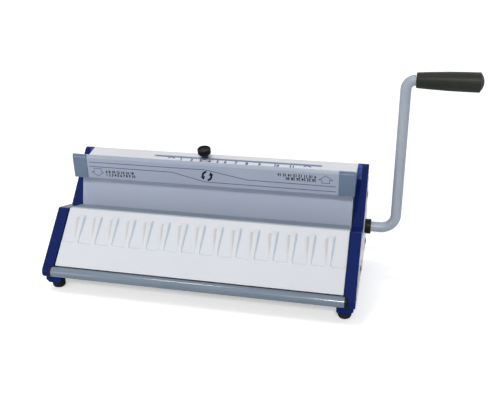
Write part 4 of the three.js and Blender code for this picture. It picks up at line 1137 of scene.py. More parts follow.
def makeReliefTree():
    # the mesh lies with X along the cover, Y up its slope and Z out of it
    inputs = {label: "Float" for label in fin}
    tree, given = newTree("finRelief", {**inputs, "Fins Each Side": "Float", "Finish": "Material"})
    place = split(tree, addNode(tree, "GeometryNodeInputPosition").outputs[0])
    across, up = place["X"], place["Y"]
    nearest = calc(tree, "ROUND", calc(tree, "DIVIDE", across, given["Pitch"]))
    nearest = calc(tree, "MINIMUM", nearest, given["Fins Each Side"])
    nearest = calc(tree, "MAXIMUM", nearest, times(tree, given["Fins Each Side"], -1.0))
    centre = times(tree, nearest, given["Pitch"])
    aside = calc(tree, "ABSOLUTE", calc(tree, "SUBTRACT", across, centre))
    rise = ramp(tree, up, given["Start"], given["End"], smooth=False)
    ends = ramp(tree, up, given["End"], calc(tree, "ADD", given["End"], given["Tip Run"]))
    land = times(tree, rise, without(tree, ends), given["High Height"])
    spread = calc(tree, "SUBTRACT", given["High Flank"], given["Low Flank"])
    spread = calc(tree, "MULTIPLY_ADD", rise, spread, given["Low Flank"])
    flankEdge = calc(tree, "ADD", given["Land Half"], spread)
    flank = ramp(tree, aside, given["Land Half"], flankEdge, smooth=False)
    finHeight = times(tree, land, without(tree, times(tree, flank, flank)))
    inside = calc(tree, "SUBTRACT", aside, given["Pocket Edge"])
    above = calc(tree, "SUBTRACT", up, given["Pocket Foot"])
    short = {}
    for axis, reach in (("X", inside), ("Y", above)):
        short[axis] = calc(tree, "MAXIMUM", calc(tree, "SUBTRACT", given["Pocket Corner"], reach), 0.0)
    corner = addNode(tree, "ShaderNodeVectorMath", {0: vector(tree, **short)}, operation="LENGTH")
    deep = calc(tree, "SUBTRACT", given["Pocket Corner"], corner.outputs["Value"])
    deep = ramp(tree, deep, 0.0, given["Pocket Run"])
    fade = without(tree, ramp(tree, up, given["Pocket Foot"], given["Pocket Top"], smooth=False))
    height = calc(tree, "SUBTRACT", finHeight, times(tree, deep, fade, given["Pocket Depth"]))
    facing = addNode(tree, "GeometryNodeInputNamedAttribute", {"Name": "relief"}, data_type="FLOAT")
    offset = vector(tree, Z=times(tree, height, facing.outputs[0]))
    shaped = addNode(tree, "GeometryNodeSetPosition", {"Geometry": given["Mesh"], "Offset": offset})
    # painted shade: a cool tint on the right flanks and round the rim of each pocket, a warm one on the
    # left flanks, stored for the finish
    right = calc(tree, "GREATER_THAN", across, centre)
    cool = ramp(tree, flank, *finShade["coolFlank"])
    cool = times(tree, cool, calc(tree, "LESS_THAN", flank, finShade["flankEnd"]))
    cool = times(tree, cool, calc(tree, "LESS_THAN", up, given["Shade End"]))
    cool = times(tree, cool, ramp(tree, rise, *finShade["coolRise"]), right)
    cool = calc(tree, "MAXIMUM", cool, times(tree, hump(tree, deep), fade))
    warmEdge = calc(tree, "MULTIPLY_ADD", spread, finShade["warmReach"], given["Land Half"])
    warm = hump(tree, ramp(tree, aside, given["Land Half"], warmEdge, smooth=False))
    warm = times(tree, warm, ramp(tree, rise, *finShade["warmRise"]))
    warm = times(tree, warm, calc(tree, "LESS_THAN", up, given["Warm End"]), without(tree, right))
    stored = shaped.outputs[0]
    for label, value in (("coolShade", cool), ("warmShade", warm)):
        inputs = {"Geometry": stored, "Name": label, "Value": times(tree, value, facing.outputs[0])}
        kind = {"data_type": "FLOAT", "domain": "POINT"}
        stored = addNode(tree, "GeometryNodeStoreNamedAttribute", inputs, **kind).outputs[0]
    closeTree(tree, stored)
    return tree


def slopeProfile():
    # the section of the cover, up its slope and out of it, with a row wherever the relief turns
    lipEnd = coverCorner + backRest * frontCover["lip"]
    path = [point(frontCover["foot"], 0), point(0, 0), coverCorner, lipEnd]
    bends = [0, frontCover["lowRadius"], frontCover["topRadius"], 0]
    section = sheetOutline(path, -frontCover["wall"], bends, coverGrid["foldSteps"])
    local = [point(spot.dot(upFront), spot.dot(outFront)) for spot in section]
    rows = []
    for first, step, count in coverGrid["rows"]:
        rows += [first + step * index for index in range(count)]
    profile = []
    for spot in local:
        profile.append((spot.x, spot.y, 0.0))
        level = [abs(reach) < smallest["step"] for _, reach, _ in profile[-2:]]
        if len(level) > 1 and all(level) and spot.x > rows[-1]:
            last = profile.pop()
            profile += [(row, 0.0, 1.0) for row in rows]
            profile.append(last)
    return profile


def coverEnd(end, radius):
    # the rings of a rounded end: where each one stands, and how far its section shrinks
    rings = []
    for step in range(coverGrid["endSteps"] + 1):
        turn = math.pi / 2 * step / coverGrid["endSteps"]
        station = math.copysign(abs(end) - radius * (1 - math.cos(turn)), end)
        rings.append((station, radius * (1 - math.sin(turn))))
    return rings


def buildFrontCover():
    finsEachSide = math.floor((panelHalf - finMargin) / fin["Pitch"])
    stations = set()
    for index in range(-finsEachSide, finsEachSide + 1):
        for offset in coverGrid["columns"]:
            for side in (-1, 1):
                stations.add(round(index * fin["Pitch"] + side * offset, 3))
    leftX, leftRound = panelHalf - frontCover["leftGap"], frontCover["leftRound"]
    reach = leftX - leftRound - coverGrid["endGap"]
    rings = coverEnd(-leftX, leftRound)
    rings += [(station, 0.0) for station in sorted(stations) if abs(station) < reach]
    rings += coverEnd(panelHalf, frontCover["rightRound"])[::-1]
    profile = slopeProfile()
    count = len(profile)
    spots = [point(spot[0], spot[1]) for spot in profile]
    area = sum(crossed(spots[index - 1], spot) for index, spot in enumerate(spots))
    inward = []
    for index in range(count):
        along = (spots[(index + 1) % count] - spots[index - 1]).normalized()
        inward.append(point(-along.y, along.x) * math.copysign(1, area))
    corners, relief = [], []
    for station, shrink in rings:
        for spot, turn, (_, _, shaped) in zip(spots, inward, profile):
            moved = spot + turn * shrink
            corners.append((station, moved.x, moved.y))
            relief.append(shaped * (1 - shrink / leftRound))
    faces = [list(range(count)), list(range(len(corners) - 1, len(corners) - count - 1, -1))]
    for start in range(0, len(corners) - count, count):
        for index in range(count):
            first, second = start + index, start + (index + 1) % count
            faces.append([first, second, second + count, first + count])
    mesh = bpy.data.meshes.new("frontCover")
    mesh.from_pydata(corners, [], faces)
    mesh.attributes.new("relief", "FLOAT", "POINT").data.foreach_set("value", relief)
    faceOut(mesh)
    cover = newObject("frontCover", mesh)
    values = {**fin, "Fins Each Side": float(finsEachSide), "Finish": finishes["whiteCover"]}
    placed(grown(cover, makeReliefTree(), values), slopeFace)
    creased(cover, frontCover["crease"])
    cover.modifiers.new("flats", "WEIGHTED_NORMAL").keep_sharp = True
    finished(settled(cover), "whiteCover", "front_cover")


buildFrontCover()


# Ledge, paper rest and the punching unit

refined("ledge_plate", 0.35, "greyLedge", 3)
restPanel = {
    "wall": 1.5, "sideGap": 2.7, "height": 60.8, "flange": 3.5, "below": 1.5, "bend": 2, "edge": 0.35,
}


def buildPaperRest():
    half = innerHalf - restPanel["sideGap"]
    path = [
        point(half, restPanel["flange"]),
        point(half, 0),
        point(-half, 0),
        point(-half, restPanel["flange"]),
    ]
    outline = sheetOutline(path, restPanel["wall"], [0, restPanel["bend"], restPanel["bend"], 0])
    panel = prism("paperRest", outline, -restPanel["below"], restPanel["height"], leaningHead, axis="Z")
    finished(softened(panel, restPanel["edge"]), "greyPanel", "paper_rest")


buildPaperRest()
for node in ("die_block", "pin_guide"):
    refined(node, 0.25, "brushedSteel", 1)

punchBar = {
    "sideGap": 24.4, "thick": 4, "lowZ": -12, "highZ": 3, "pinSize": 4, "pinZ": -6.5, "perInch": 3,
    "unitDeep": 8.5, "stroke": 8, "play": 0.5, "edge": 0.4,
}


def makePinTree():
    # square punch pins in a row, joined to the bar that drives them
    inputs = {"Pins": "Int", **dict.fromkeys(("Pitch", "Size", "Length", "Front", "Level"), "Float")}
    tree, given = newTree("punchPins", {**inputs, "Finish": "Material"})
    first = times(tree, calc(tree, "SUBTRACT", given["Pins"], 1.0), given["Pitch"], -0.5)
    start = vector(tree, X=first, Y=given["Front"], Z=given["Level"])
    row = {"Count": given["Pins"], "Start Location": start, "Offset": vector(tree, X=given["Pitch"])}
    row = addNode(tree, "GeometryNodeMeshLine", row).outputs[0]
    size = vector(tree, X=given["Size"], Y=given["Length"], Z=given["Size"])
    pinShape = addNode(tree, "GeometryNodeMeshCube", {"Size": size}).outputs[0]
    pins = addNode(tree, "GeometryNodeInstanceOnPoints", {"Points": row, "Instance": pinShape}).outputs[0]
    both = addNode(tree, "GeometryNodeJoinGeometry")
    tree.links.new(pins, both.inputs[0])
    tree.links.new(given["Mesh"], both.inputs[0])
    closeTree(tree, both.outputs[0])
    return tree


def buildPunchBar():
    # the node's box leans with the head, so its front and rear come from the sizes of the unit
    guideFront = restPanel["wall"] + gap
    barFront = guideFront + punchBar["unitDeep"] + punchBar["stroke"] + punchBar["play"]
    half = innerHalf - punchBar["sideGap"]
    low = (-half, barFront, punchBar["lowZ"])
    high = (half, barFront + punchBar["thick"], punchBar["highZ"])
    press = block("punchBar", low, high, Matrix.Identity(4))
    modifier = press.modifiers.new("edges", "BEVEL")
    modifier.width, modifier.segments = punchBar["edge"], 2
    pitch = inch / punchBar["perInch"]
    pinFront = guideFront + gap
    length = barFront + overrun - pinFront
    values = {
        "Pins": 2 * math.floor((half - punchBar["pinSize"] / 2) / pitch + 0.5),
        "Pitch": pitch,
        "Size": float(punchBar["pinSize"]),
        "Length": length,
        "Front": pinFront + length / 2,
        "Level": punchBar["pinZ"],
        "Finish": finishes["brushedSteel"],
    }
    placed(grown(press, makePinTree(), values), leaningHead)
    finished(creased(press), "brushedSteel", "punch_bar")


buildPunchBar()
print("ledge, paper rest and punching unit")


# Cross shaft, bushes, cams, pinions and slides

def buildShaft():
    shaftEnd = innerHalf - crank["shaftShort"]
    start = crank["shaftInset"] - recessX
    profile = turnedProfile([
        (0, start, 0),
        (crank["tubeRadius"], start, 0.8),
        (crank["tubeRadius"], shaftEnd, 0.3),
        (crank["tenonRadius"], shaftEnd, 0),
        (crank["tenonRadius"], shaftEnd + crank["tenonLength"], 0.6),
        (0, shaftEnd + crank["tenonLength"], 0),
    ], 3)
    turnedPiece("cross_shaft", "brushedSteel", sidesOf["rod"], profile, centre=axleCentre)


def buildBushes():
    plain = turnedProfile([
        (bush["bore"], -recessX, 0.3),
        (bush["radius"], -recessX, 0.3),
        (bush["radius"], -innerHalf, 0.3),
        (bush["bore"], -innerHalf, 0.3),
    ], 2)
    turnedPiece("bush_left", "bushBronze", sidesOf["rod"], plain, centre=axleCentre)
    flangeStart = sideCoverX + gap
    flangeEnd = boxOf("crank_bush")[1].x
    collar = turnedProfile([
        (bush["bore"], innerHalf, 0),
        (bush["radius"], innerHalf, 0.3),
        (bush["radius"], flangeStart, 0),
        (bush["flange"], flangeStart, 0.4),
        (bush["flange"], flangeEnd, 0.9),
        (bush["bore"] + bush["mouth"], flangeEnd, 0.5),
        (bush["bore"], flangeEnd - bush["mouthDeep"], 0.3),
    ], 4)
    turnedPiece("crank_bush", "blackPlastic", sidesOf["handle"], collar, centre=axleCentre)


buildShaft()
buildBushes()
for index in (1, 2, 3):
    refined("punch_cam_%d" % index, 0.4, "brushedSteel")
for name in sides:
    refined("pinion_" + name, 0.2, "brushedSteel", 1)
    refined("slide_carrier_" + name, 0.2, "slideBlack", 1)
    refined("carrier_guide_" + name, 0.4, "slideBlack")
refined("join_rail", 0.3, "brushedSteel")
tieLow, tieHigh = boxOf("tie_rod")
tieCentre = (tieLow + tieHigh) / 2
tieRadius = (tieHigh.z - tieLow.z) / 2
tieEnds = [(0, tieLow.x, 0), (tieRadius, tieLow.x, 0.6), (tieRadius, tieHigh.x, 0.6), (0, tieHigh.x, 0)]
around = (0, tieCentre.y, tieCentre.z)
turnedPiece("tie_rod", "brushedSteel", sidesOf["screw"], turnedProfile(tieEnds), centre=around)

spring = {"Turns": 6.0, "Wire Radius": 0.8, "Coil Radius": 8.2, "Pitch": 2.6, "Leg": 29.0}
springSteps = {"perTurn": 32, "legTurns": 0.6, "aroundWire": 10}


def makeSpringTree():
    # a wire wound round X, whose last end runs straight back as a leg
    inputs = {**dict.fromkeys(spring, "Float"), "Steps": "Int", "Finish": "Material"}
    tree, given = newTree("woundSpring", inputs)
    line = addNode(tree, "GeometryNodeMeshLine", {"Count": given["Steps"]}).outputs[0]
    index = addNode(tree, "GeometryNodeInputIndex").outputs[0]
    share = calc(tree, "DIVIDE", index, calc(tree, "SUBTRACT", given["Steps"], 1.0))
    around = times(tree, given["Turns"], 2 * math.pi, given["Coil Radius"])
    left = times(tree, share, calc(tree, "ADD", around, given["Leg"]))
    turn = calc(tree, "DIVIDE", calc(tree, "MINIMUM", left, around), given["Coil Radius"])
    beyond = calc(tree, "MAXIMUM", calc(tree, "SUBTRACT", left, around), 0.0)
    whole = calc(tree, "MULTIPLY_ADD", given["Turns"], 2 * math.pi, math.pi / 2)
    angle = calc(tree, "SUBTRACT", whole, turn)
    across = times(tree, calc(tree, "DIVIDE", turn, 2 * math.pi), given["Pitch"])
    back = calc(tree, "MULTIPLY_ADD", calc(tree, "COSINE", angle), given["Coil Radius"], beyond)
    up = times(tree, calc(tree, "SINE", angle), given["Coil Radius"])
    inputs = {"Geometry": line, "Position": vector(tree, X=across, Y=back, Z=up)}
    wound = addNode(tree, "GeometryNodeSetPosition", inputs).outputs[0]
    path = addNode(tree, "GeometryNodeMeshToCurve", {"Mesh": wound}).outputs[0]
    section = {"Resolution": springSteps["aroundWire"], "Radius": given["Wire Radius"]}
    section = addNode(tree, "GeometryNodeCurvePrimitiveCircle", section).outputs[0]
    inputs = {"Curve": path, "Profile Curve": section, "Fill Caps": True}
    closeTree(tree, addNode(tree, "GeometryNodeCurveToMesh", inputs).outputs[0])
    return tree


def buildSpring():
    coil = newObject("returnSpring", bpy.data.meshes.new("returnSpring"))
    steps = int(springSteps["perTurn"] * (spring["Turns"] + springSteps["legTurns"]))
    grown(coil, makeSpringTree(), {**spring, "Steps": steps, "Finish": finishes["brushedSteel"]})
    start = boxOf("return_spring")[0].x + spring["Wire Radius"]
    axle = Matrix.Translation((start, crank["y"], crank["z"]))
    tilt = Matrix.Rotation(math.radians(-head["lean"]), 4, "X")
    placed(coil, machine @ axle @ tilt)
    finished(creased(coil), "brushedSteel", "return_spring")


buildSpring()
print("shaft, cams, slides and spring")


# Closing bar: plate, caps and the marks printed on it

closingBar = {
    "lowY": -22.4, "lowZ": 43.5, "lean": 17.2, "height": 35.1, "facetHeight": 4.5, "facetBack": 1.8,
    "wall": 3.2, "lipThick": 3.5, "depth": 13.5, "webThick": 2, "webGap": 0.4,
    "edge": 0.25,
}
cap = {
    "length": 21.1, "overFrame": 1.4, "proud": 0.6, "topFall": 6.7, "slotStart": 3, "tongueLow": 2,
    "tongueHigh": 26.6, "edge": 0.8,
}
barFoot = point(closingBar["lowY"], closingBar["lowZ"])
upBar = leaning(-closingBar["lean"])
backBar = point(upBar.y, -upBar.x)
barFace = faceFrame(barFoot, upBar, leaningHead)
capOuter = innerHalf + cap["overFrame"]
capInner = capOuter - cap["length"]
plateHalf = capInner - gap


def onBar(up, back):
    return barFoot + upBar * up + backBar * back


def buildClosingPlate():
    height, wall = closingBar["height"], closingBar["wall"]
    facet = height - closingBar["facetHeight"]
    corners = [
        (onBar(0, 0), 0.5),
        (onBar(facet, 0), 0.8),
        (onBar(height, closingBar["facetBack"]), 0.5),
        (onBar(height - wall / 2, closingBar["facetBack"] + wall), 0.5),
        (onBar(facet - wall / 2, wall), 0.8),
        (onBar(closingBar["lipThick"], wall), 1.2),
        (onBar(closingBar["lipThick"], closingBar["depth"]), 0.5),
        (onBar(0, closingBar["depth"]), 0.5),
    ]
    plate = prism("closingPlate", rounded(corners, 4), -plateHalf, plateHalf, leaningHead)
    finished(softened(plate, closingBar["edge"], 2, 50), "closingPlate", "closing_plate")


def buildCap(name, side):
    height, proud = closingBar["height"], cap["proud"]
    corners = [
        onBar(-proud, -proud),
        onBar(height - closingBar["facetHeight"], -proud),
        onBar(height + proud, closingBar["facetBack"] - proud),
        onBar(height - cap["topFall"], closingBar["depth"] + proud),
        onBar(-proud, closingBar["depth"] + proud),
    ]
    slotPath = [
        onBar(cap["tongueLow"] - gap, cap["slotStart"]),
        onBar(cap["tongueHigh"] + gap, cap["slotStart"]),
        onBar(cap["tongueHigh"] + gap, closingBar["depth"] + 2 * overrun),
        onBar(cap["tongueLow"] - gap, closingBar["depth"] + 2 * overrun),
    ]
    webOuter = innerHalf - closingBar["webGap"]
    reach = sorted((side * capInner, side * capOuter))
    made = prism(titled("bar_cap_" + name), corners, *reach, leaningHead)
    reach = sorted((side * (webOuter - closingBar["webThick"] - gap), side * (webOuter + gap)))
    carved(made, prism("tongue", slotPath, *reach, leaningHead))
    finished(softened(made, cap["edge"]), "slateCap", "bar_cap_" + name)


def stroke(path, width, closed=False):
    # a line of even width along the path
    spots = [point(*spot) for spot in path]
    left = shifted(spots, width / 2, closed)
    right = shifted(spots, -width / 2, closed)
    pieces = []
    for index in range(len(spots) if closed else len(spots) - 1):
        following = (index + 1) % len(spots)
        pieces.append([left[index], left[following], right[following], right[index]])
    return pieces


def arcArrow(centre, radius, width, start, end, headLong, headWide, steps=10):
    # an arc that ends in an arrow head
    def around(angle, reach):
        return point(*centre) + point(math.cos(angle), math.sin(angle)) * reach

    start, end = math.radians(start), math.radians(end)
    inner, outer = radius - width / 2, radius + width / 2
    pieces = []
    for index in range(steps):
        first = start + (end - start) * index / steps
        second = start + (end - start) * (index + 1) / steps
        quad = (first, inner), (first, outer), (second, outer), (second, inner)
        pieces.append([around(*corner) for corner in quad])
    tangent = point(-math.sin(end), math.cos(end)) * math.copysign(1, end - start)
    base = around(end, radius)
    beside = point(math.cos(end), math.sin(end)) * headWide / 2
    pieces.append([base + beside, base + tangent * headLong, base - beside])
    return pieces


printThick = 0.05  # into the face and out of it


def printed(name, pieces, ink, place):
    # flat marks, each a thin closed plate that sits in the face and stands a hair proud of it
    corners, faces = [], []
    for outline in pieces:
        start, count = len(corners), len(outline)
        corners += [(spot.x, spot.y, level) for level in (-printThick, printThick) for spot in outline]
        faces.append([start + index for index in range(count)])
        faces.append([start + count + index for index in reversed(range(count))])
        for index in range(count):
            first, second = start + index, start + (index + 1) % count
            faces.append([second, first, first + count, second + count])
    mesh = bpy.data.meshes.new(name)
    mesh.from_pydata([place @ Vector(corner) for corner in corners], [], faces)
    faceOut(mesh)
    mesh.materials.append(inks[ink])
    return newObject(name, mesh)


def lettered(name, texts, size, bold, ink, place):
    # plain numbers, each given as (words, across, up) from their lower left corner
    parts = []
    for words, across, up in texts:
        curve = bpy.data.curves.new(name, "FONT")
        curve.body = words
        curve.size = size
        curve.offset = size * bold
        curve.extrude = printThick
        curve.resolution_u = 2
        text = newObject(name, curve)
        bpy.context.view_layer.update()
        graph = bpy.context.evaluated_depsgraph_get()
        mesh = bpy.data.meshes.new_from_object(text.evaluated_get(graph))
        bpy.data.objects.remove(text)
        mesh.transform(place @ Matrix.Translation((across, up, 0)))
        parts.append(newObject(name, mesh))
    made = joined(name, *parts)
    made.data.materials.clear()
    made.data.materials.append(inks[ink])
    return made


marks = {
    "lineWidth": 1.0, "arrowWidth": 0.8,
    "upperLine": [(-178, 24), (-4, 24), (56, 13.2), (178, 12.2)],
    "lowerLine": [(-178.6, 17.4), (-52.7, 17.1), (-5, 5.7), (178, 4.9)],
    "downArrow": [
        (-171.4, 15), (-171.4, 9.6), (-175.2, 9.6), (-166, 3.2), (-156.8, 9.6), (-160.4, 9.6), (-160.4, 15),
    ],
    "upArrow": [
        (158.6, 16.4), (158.6, 20.9), (154.6, 20.9), (163.8, 27.2), (173, 20.9), (169, 20.9), (169, 16.4),
    ],
    "symbolAt": (-1.6, 15), "symbolRadius": 6.2, "symbolWidth": 2.9, "headLong": 5.2, "headWide": 6.8,
    "symbolArcs": [(95, 190), (275, 370)], "textSize": 5.6, "textBold": 0.04,
    "lowNumbers": [("6 8 10 12 14 16 18", -153.5, 8.9), ("1 2 3 4 5 6 7 8 9 10", -153.5, 4.0)],
    "highNumbers": [("20 22 24 26 28 30", -151, -21.4), ("9 10 11 12 13 14 15 16", -151, -26.4)],
}


def buildBarMarks():
    lines = []
    for label in ("upperLine", "lowerLine"):
        lines += stroke(marks[label], marks["lineWidth"])
    for label in ("downArrow", "upArrow"):
        lines += stroke(marks[label], marks["arrowWidth"], True)
    symbol = []
    shape = marks["symbolAt"], marks["symbolRadius"], marks["symbolWidth"]
    for start, end in marks["symbolArcs"]:
        symbol += arcArrow(*shape, start, end, marks["headLong"], marks["headWide"])
    # the numbers at the right are read from the other side, so they stand on their heads
    upsideDown = barFace @ Matrix.Rotation(math.pi, 4, "Z")
    letters = marks["textSize"], marks["textBold"], "textInk"
    attached(
        "closing_plate",
        printed("barLines", lines, "lineInk", barFace),
        printed("turnSymbol", symbol, "darkInk", barFace),
        lettered("lowNumbers", marks["lowNumbers"], *letters, barFace),
        lettered("highNumbers", marks["highNumbers"], *letters, upsideDown),
    )


# where the painted highlight lines lie on each cap
capHighlight = {"ends": 0.9, "wide": 0.6, "levels": (0.4, 4.3)}


def buildCapHighlights():
    # two pale lines bound the top facet of each cap as painted highlights, in line with the strip on the
    # plate
    low = onBar(closingBar["height"] - closingBar["facetHeight"], -cap["proud"])
    high = onBar(closingBar["height"] + cap["proud"], closingBar["facetBack"] - cap["proud"])
    facet = faceFrame(low, (high - low).normalized(), leaningHead)
    near, far = capInner + capHighlight["ends"], capOuter - capHighlight["ends"]
    highlights = []
    for side in sides.values():
        for level in capHighlight["levels"]:
            top = level + capHighlight["wide"]
            corners = [(near, level), (far, level), (far, top), (near, top)]
            highlights.append([point(side * across, up) for across, up in corners])
    attached("bar_cap_left", printed("capStrips", highlights, "stripInk", facet))


buildClosingPlate()
for name, side in sides.items():
    buildCap(name, side)
buildBarMarks()
buildCapHighlights()
print("closing bar")


# Top cover with its slot and scale, rear cover, chip tray

topCover = {
    "wall": 1.8, "lipHeight": 3, "frontZ": 64.6, "ridgeY": 158.5, "ridgeZ": 130.2, "skirt": 22,
    "rearLean": 14, "lipFold": 2.2, "ridgeFold": 1.3, "slotRoundShare": 0.9, "edge": 0.35,
}
sizeStop = {"along": 28.6, "slotWidth": 3.8, "leftInset": 104.4, "rightInset": 51.4, "studRadius": 1.6}
slotLow = sizeStop["leftInset"] - innerHalf - sizeStop["studRadius"] - gap
slotHigh = innerHalf - sizeStop["rightInset"] + sizeStop["studRadius"] + gap
slotHalf = sizeStop["slotWidth"] / 2
lipFace = restPanel["wall"] + gap
lipLow = fromHead(lipFace, topCover["frontZ"] - topCover["lipHeight"])
lipHigh = fromHead(lipFace, topCover["frontZ"])
ridge = point(topCover["ridgeY"], topCover["ridgeZ"])
downRear = leaning(-topCover["rearLean"]) * -1
skirtEnd = ridge + downRear * topCover["skirt"]
upCover = (ridge - lipHigh).normalized()
coverTop = faceFrame(lipHigh, upCover)


def buildTopCover():
    bends = [0, topCover["lipFold"], topCover["ridgeFold"], 0]
    section = sheetOutline([lipLow, lipHigh, ridge, skirtEnd], -topCover["wall"], bends)
    cover = prism("topCover", section, -panelHalf, panelHalf)
    low, high = sizeStop["along"] - slotHalf, sizeStop["along"] + slotHalf
    corners = [(slotLow, low), (slotHigh, low), (slotHigh, high), (slotLow, high)]
    outline = rounded([(point(*corner), slotHalf * topCover["slotRoundShare"]) for corner in corners], 6)
    deep = topCover["wall"] + 2 * overrun
    carved(cover, prism("slot", outline, -deep, 2 * overrun, coverTop, axis="Z"))
    finished(softened(cover, topCover["edge"]), "topWhite", "top_cover")


scale = {
    "ticks": [-56.8, -40.6, -27, -13.8, -1, 10.5, 26.2, 42.5, 61.3, 84, 106.5], "along": 25.6,
    "tickLong": 1.4, "tickWide": 1.0, "numberSize": 8.2, "numberBold": 0.05, "numberAlong": 19.0,
    "numberLeft": 1, "chevrons": [-71.5, 131.5], "chevronHalf": 5.2, "chevronRise": 3.4,
    "chevronWide": 2.0, "chevronDrop": 2, "rim": 0.8,
}


def makeTickTree():
    # a short printed bar on each point
    inputs = {"Width": "Float", "Length": "Float", "Thickness": "Float", "Finish": "Material"}
    tree, given = newTree("scaleTicks", inputs)
    spots = addNode(tree, "GeometryNodeMeshToPoints", {"Mesh": given["Mesh"]}).outputs[0]
    size = vector(tree, X=given["Width"], Y=given["Length"], Z=given["Thickness"])
    bar = addNode(tree, "GeometryNodeMeshCube", {"Size": size}).outputs[0]
    bars = addNode(tree, "GeometryNodeInstanceOnPoints", {"Points": spots, "Instance": bar})
    closeTree(tree, bars.outputs[0])
    return tree


def buildScale():
    mesh = bpy.data.meshes.new("scaleTicks")
    mesh.from_pydata([(across, scale["along"], 0) for across in scale["ticks"]], [], [])
    ticks = newObject("scaleTicks", mesh)
    values = {
        "Width": scale["tickWide"],
        "Length": scale["tickLong"],
        "Thickness": 2 * printThick,
        "Finish": inks["scaleInk"],
    }
    placed(grown(ticks, makeTickTree(), values), coverTop)
    numbers = []
    for index, across in enumerate(scale["ticks"]):
        numbers.append((str(index + 1), across - scale["numberLeft"], scale["numberAlong"]))
    chevrons = []
    half, low = scale["chevronHalf"], scale["along"] - scale["chevronDrop"]
    for across in scale["chevrons"]:
        path = [(across - half, low), (across, low + scale["chevronRise"]), (across + half, low)]
        chevrons += stroke(path, scale["chevronWide"])
    out = scale["rim"] / 2
    low, high, half = slotLow - out, slotHigh + out, slotHalf + out
    middle = sizeStop["along"]
    rim = [(low, middle - half), (high, middle - half), (high, middle + half), (low, middle + half)]
    # the rear wall of the slot, which is all that is seen inside it
    upward = point(-upCover.y, upCover.x)
    low, high, deep = slotLow + slotHalf, slotHigh - slotHalf, -topCover["wall"]
    wall = [point(low, deep), point(high, deep), point(high, 0), point(low, 0)]
    wallFace = faceFrame(lipHigh + upCover * (middle + slotHalf), upward)
    letters = scale["numberSize"], scale["numberBold"], "scaleInk"
    attached(
        "top_cover",
        ticks,
        printed("slotRim", stroke(rim, scale["rim"], True), "slotInk", coverTop),
        printed("slotWall", [wall], "slotInk", wallFace),
        lettered("scaleNumbers", numbers, *letters, coverTop),
        printed("scaleChevrons", chevrons, "scaleInk", coverTop),
    )


buildTopCover()
buildScale()
refined("rear_cover", 0.35, "topWhite", 3)
refined("chip_tray", 0.4, "blackPlastic")
print("covers, scale and tray")


# Size stop

knob = {
    "radius": 9.8, "neckRadius": 5.3, "neckTop": 4.8, "headFrom": 9.8, "top": 17, "chamfer": 0.7,
    "rim": 1.8, "dish": 1.8, "dishSlope": 0.5,
}
washer = {"radius": 4.9, "thick": 2.8}
stopSlider = {"thick": 4.5, "studTop": 9.6}
onStud = (middleOf("stop_knob").x, sizeStop["along"], 0)


def onCover(node, finish, sides, corners, steps=3):
    # a turned piece of the size stop, with its profile measured out of the top cover
    turnedPiece(node, finish, sidesOf[sides], turnedProfile(corners, steps), coverTop, "Z", onStud)


def buildSizeStop():
    refined("stop_slider", 0.3, "slideBlack")
    hole = sizeStop["studRadius"] + gap
    washerTop = gap + washer["thick"]
    onCover("stop_washer", "slateCap", "rod", [
        (hole, gap, 0.1),
        (washer["radius"], gap, 0.3),
        (washer["radius"], washerTop, 0.3),
        (hole, washerTop, 0.1),
    ])
    low, studTop = -topCover["wall"] - gap - stopSlider["thick"], stopSlider["studTop"]
    onCover("stop_stud", "brushedSteel", "pin", [
        (0, low, 0),
        (sizeStop["studRadius"], low, 0.3),
        (sizeStop["studRadius"], studTop - gap, 0.4),
        (0, studTop - gap, 0),
    ])
    neck, radius, top, start = knob["neckRadius"], knob["radius"], knob["top"], washerTop + gap
    dishRadius, dishFloor = radius - knob["rim"], top - knob["dish"]
    onCover("stop_knob", "blackPlastic", "handle", [
        (hole, start, 0.2),
        (neck, start, 0.5),
        (neck, knob["neckTop"], 1.2),
        (radius, knob["headFrom"], 0.8),
        (radius, top - knob["chamfer"], 0.4),
        (radius - knob["chamfer"], top, 0.3),
        (dishRadius, top, 0.2),
        (dishRadius - knob["dishSlope"], dishFloor, 0.3),
        (0, dishFloor, 0),
        (0, studTop, 0),
        (hole, studTop, 0.2),
    ], 6)


buildSizeStop()
print("size stop")


# Crank and grip

grip = {
    "knots": [(0, 10.2), (0.2, 11.3), (0.5, 12.5), (0.8, 12.95), (0.94, 13.0)],
    "tip": 5, "tipRound": 0.6, "tipShare": 0.3, "floor": 6, "startRound": 1.2, "sideFromShare": 1.5,
    "roundSteps": 4, "sideSteps": 24, "crownSteps": 12, "crease": 45,
}


def swept(name, path, radius, sidesRound, place):
    # a tube along a path in X and Z, with its section square to the path
    corners, faces = [], []
    for index, spot in enumerate(path):
        before = path[max(index - 1, 0)]
        after = path[min(index + 1, len(path) - 1)]
        along = (after - before).normalized()
        for step in range(sidesRound):
            angle = 2 * math.pi * step / sidesRound
            across, aside = radius * math.cos(angle), radius * math.sin(angle)
            corners.append((spot.x - along.y * across, aside, spot.y + along.x * across))
    for index in range(len(path) - 1):
        for step in range(sidesRound):
            following = (step + 1) % sidesRound
            start, end = index * sidesRound, (index + 1) * sidesRound
            faces.append([start + step, start + following, end + following, end + step])
    faces.append(list(range(sidesRound)))
    faces.append([len(corners) - 1 - step for step in range(sidesRound)])
    return solid(name, corners, faces, place)


def crankPath(start, armX):
    low, high, tall = crank["lowBend"], crank["highBend"], crank["armHeight"]
    path = [point(start, 0), point(start + crank["firstRing"], 0)]
    for step in range(crank["lowSteps"] + 1):
        angle = math.pi / 2 * step / crank["lowSteps"]
        path.append(point(armX - low + low * math.sin(angle), low * (1 - math.cos(angle))))
    for step in range(crank["highSteps"] + 1):
        angle = math.pi / 2 * step / crank["highSteps"]
        path.append(point(armX + high * (1 - math.cos(angle)), tall - high + high * math.sin(angle)))
    return path


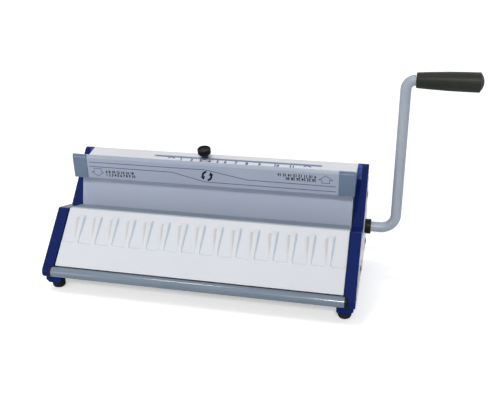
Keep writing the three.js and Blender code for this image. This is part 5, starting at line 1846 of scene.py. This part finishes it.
def gripRadius(share):
    # straight from knot to knot along the grip
    knots = grip["knots"]
    for (low, first), (high, second) in zip(knots, knots[1:]):
        if share <= high:
            part = (share - low) / (high - low)
            return first + (second - first) * part
    return knots[-1][1]


def gripProfile(low, high, boreEnd):
    # a rounded start, the swelling side, a small round at the tip and its shallow crown
    hole = crank["spindleRadius"] + gap
    length, turn, startRound = high.x - low.x, math.pi / 2, grip["startRound"]
    profile = [(hole, low.x)]
    for step in range(grip["roundSteps"] + 1):
        angle = turn * step / grip["roundSteps"]
        radius = grip["knots"][0][1] - startRound * (1 - math.sin(angle))
        profile.append((radius, low.x + startRound * (1 - math.cos(angle))))
    for step in range(1, grip["sideSteps"] + 1):
        share = (1 - grip["tip"] / length) * step / grip["sideSteps"]
        if share * length > startRound * grip["sideFromShare"]:
            profile.append((gripRadius(share), low.x + share * length))
    rim = grip["knots"][-1][1] - grip["tipRound"]
    crown = (rim ** 2 + grip["tip"] ** 2) / (2 * grip["tip"])
    for step in range(1, grip["roundSteps"] + 1):
        angle = turn / 2 * step / grip["roundSteps"]
        proud = grip["tipRound"] * math.sin(angle) * grip["tipShare"]
        profile.append((rim + grip["tipRound"] * math.cos(angle), high.x - grip["tip"] + proud))
    for step in range(1, grip["crownSteps"] + 1):
        radius = rim * (1 - step / grip["crownSteps"])
        profile.append((radius, high.x - crown + math.sqrt(crown ** 2 - radius ** 2)))
    return profile + [(0, boreEnd), (hole, boreEnd)]


def buildCrank():
    armX = sideCoverX + crank["armOffset"]
    start = innerHalf - crank["shaftShort"] + gap
    axle = machine @ Matrix.Translation(axleCentre)
    arm = swept("crankArm", crankPath(start, armX), crank["tubeRadius"], sidesOf["rod"], axle)
    low, high = boxOf("crank_grip")
    boreEnd = high.x - grip["floor"]
    spindle = turnedProfile([
        (0, armX + crank["highBend"] / 2, 0),
        (crank["spindleRadius"], armX + crank["highBend"] / 2, 0),
        (crank["spindleRadius"], boreEnd - gap, 0.6),
        (0, boreEnd - gap, 0),
    ], 3)
    onSpindle = (0, 0, crank["armHeight"])
    rod = turned("spindle", spindle, sidesOf["pin"], axle, centre=onSpindle)
    tenon = rodProfile(crank["tenonRadius"] + gap, start - overrun, start + crank["tenonLength"] + gap)
    carved(arm, turned("tenon", tenon, sidesOf["pin"], axle))
    finished(creased(joined("crankArm", arm, rod), crank["crease"]), "crankTube", "crank_arm")
    around = axle, "X", onSpindle, grip["crease"]
    turnedPiece("crank_grip", "gripPlastic", sidesOf["handle"], gripProfile(low, high, boreEnd), *around)


buildCrank()
print("crank and grip")
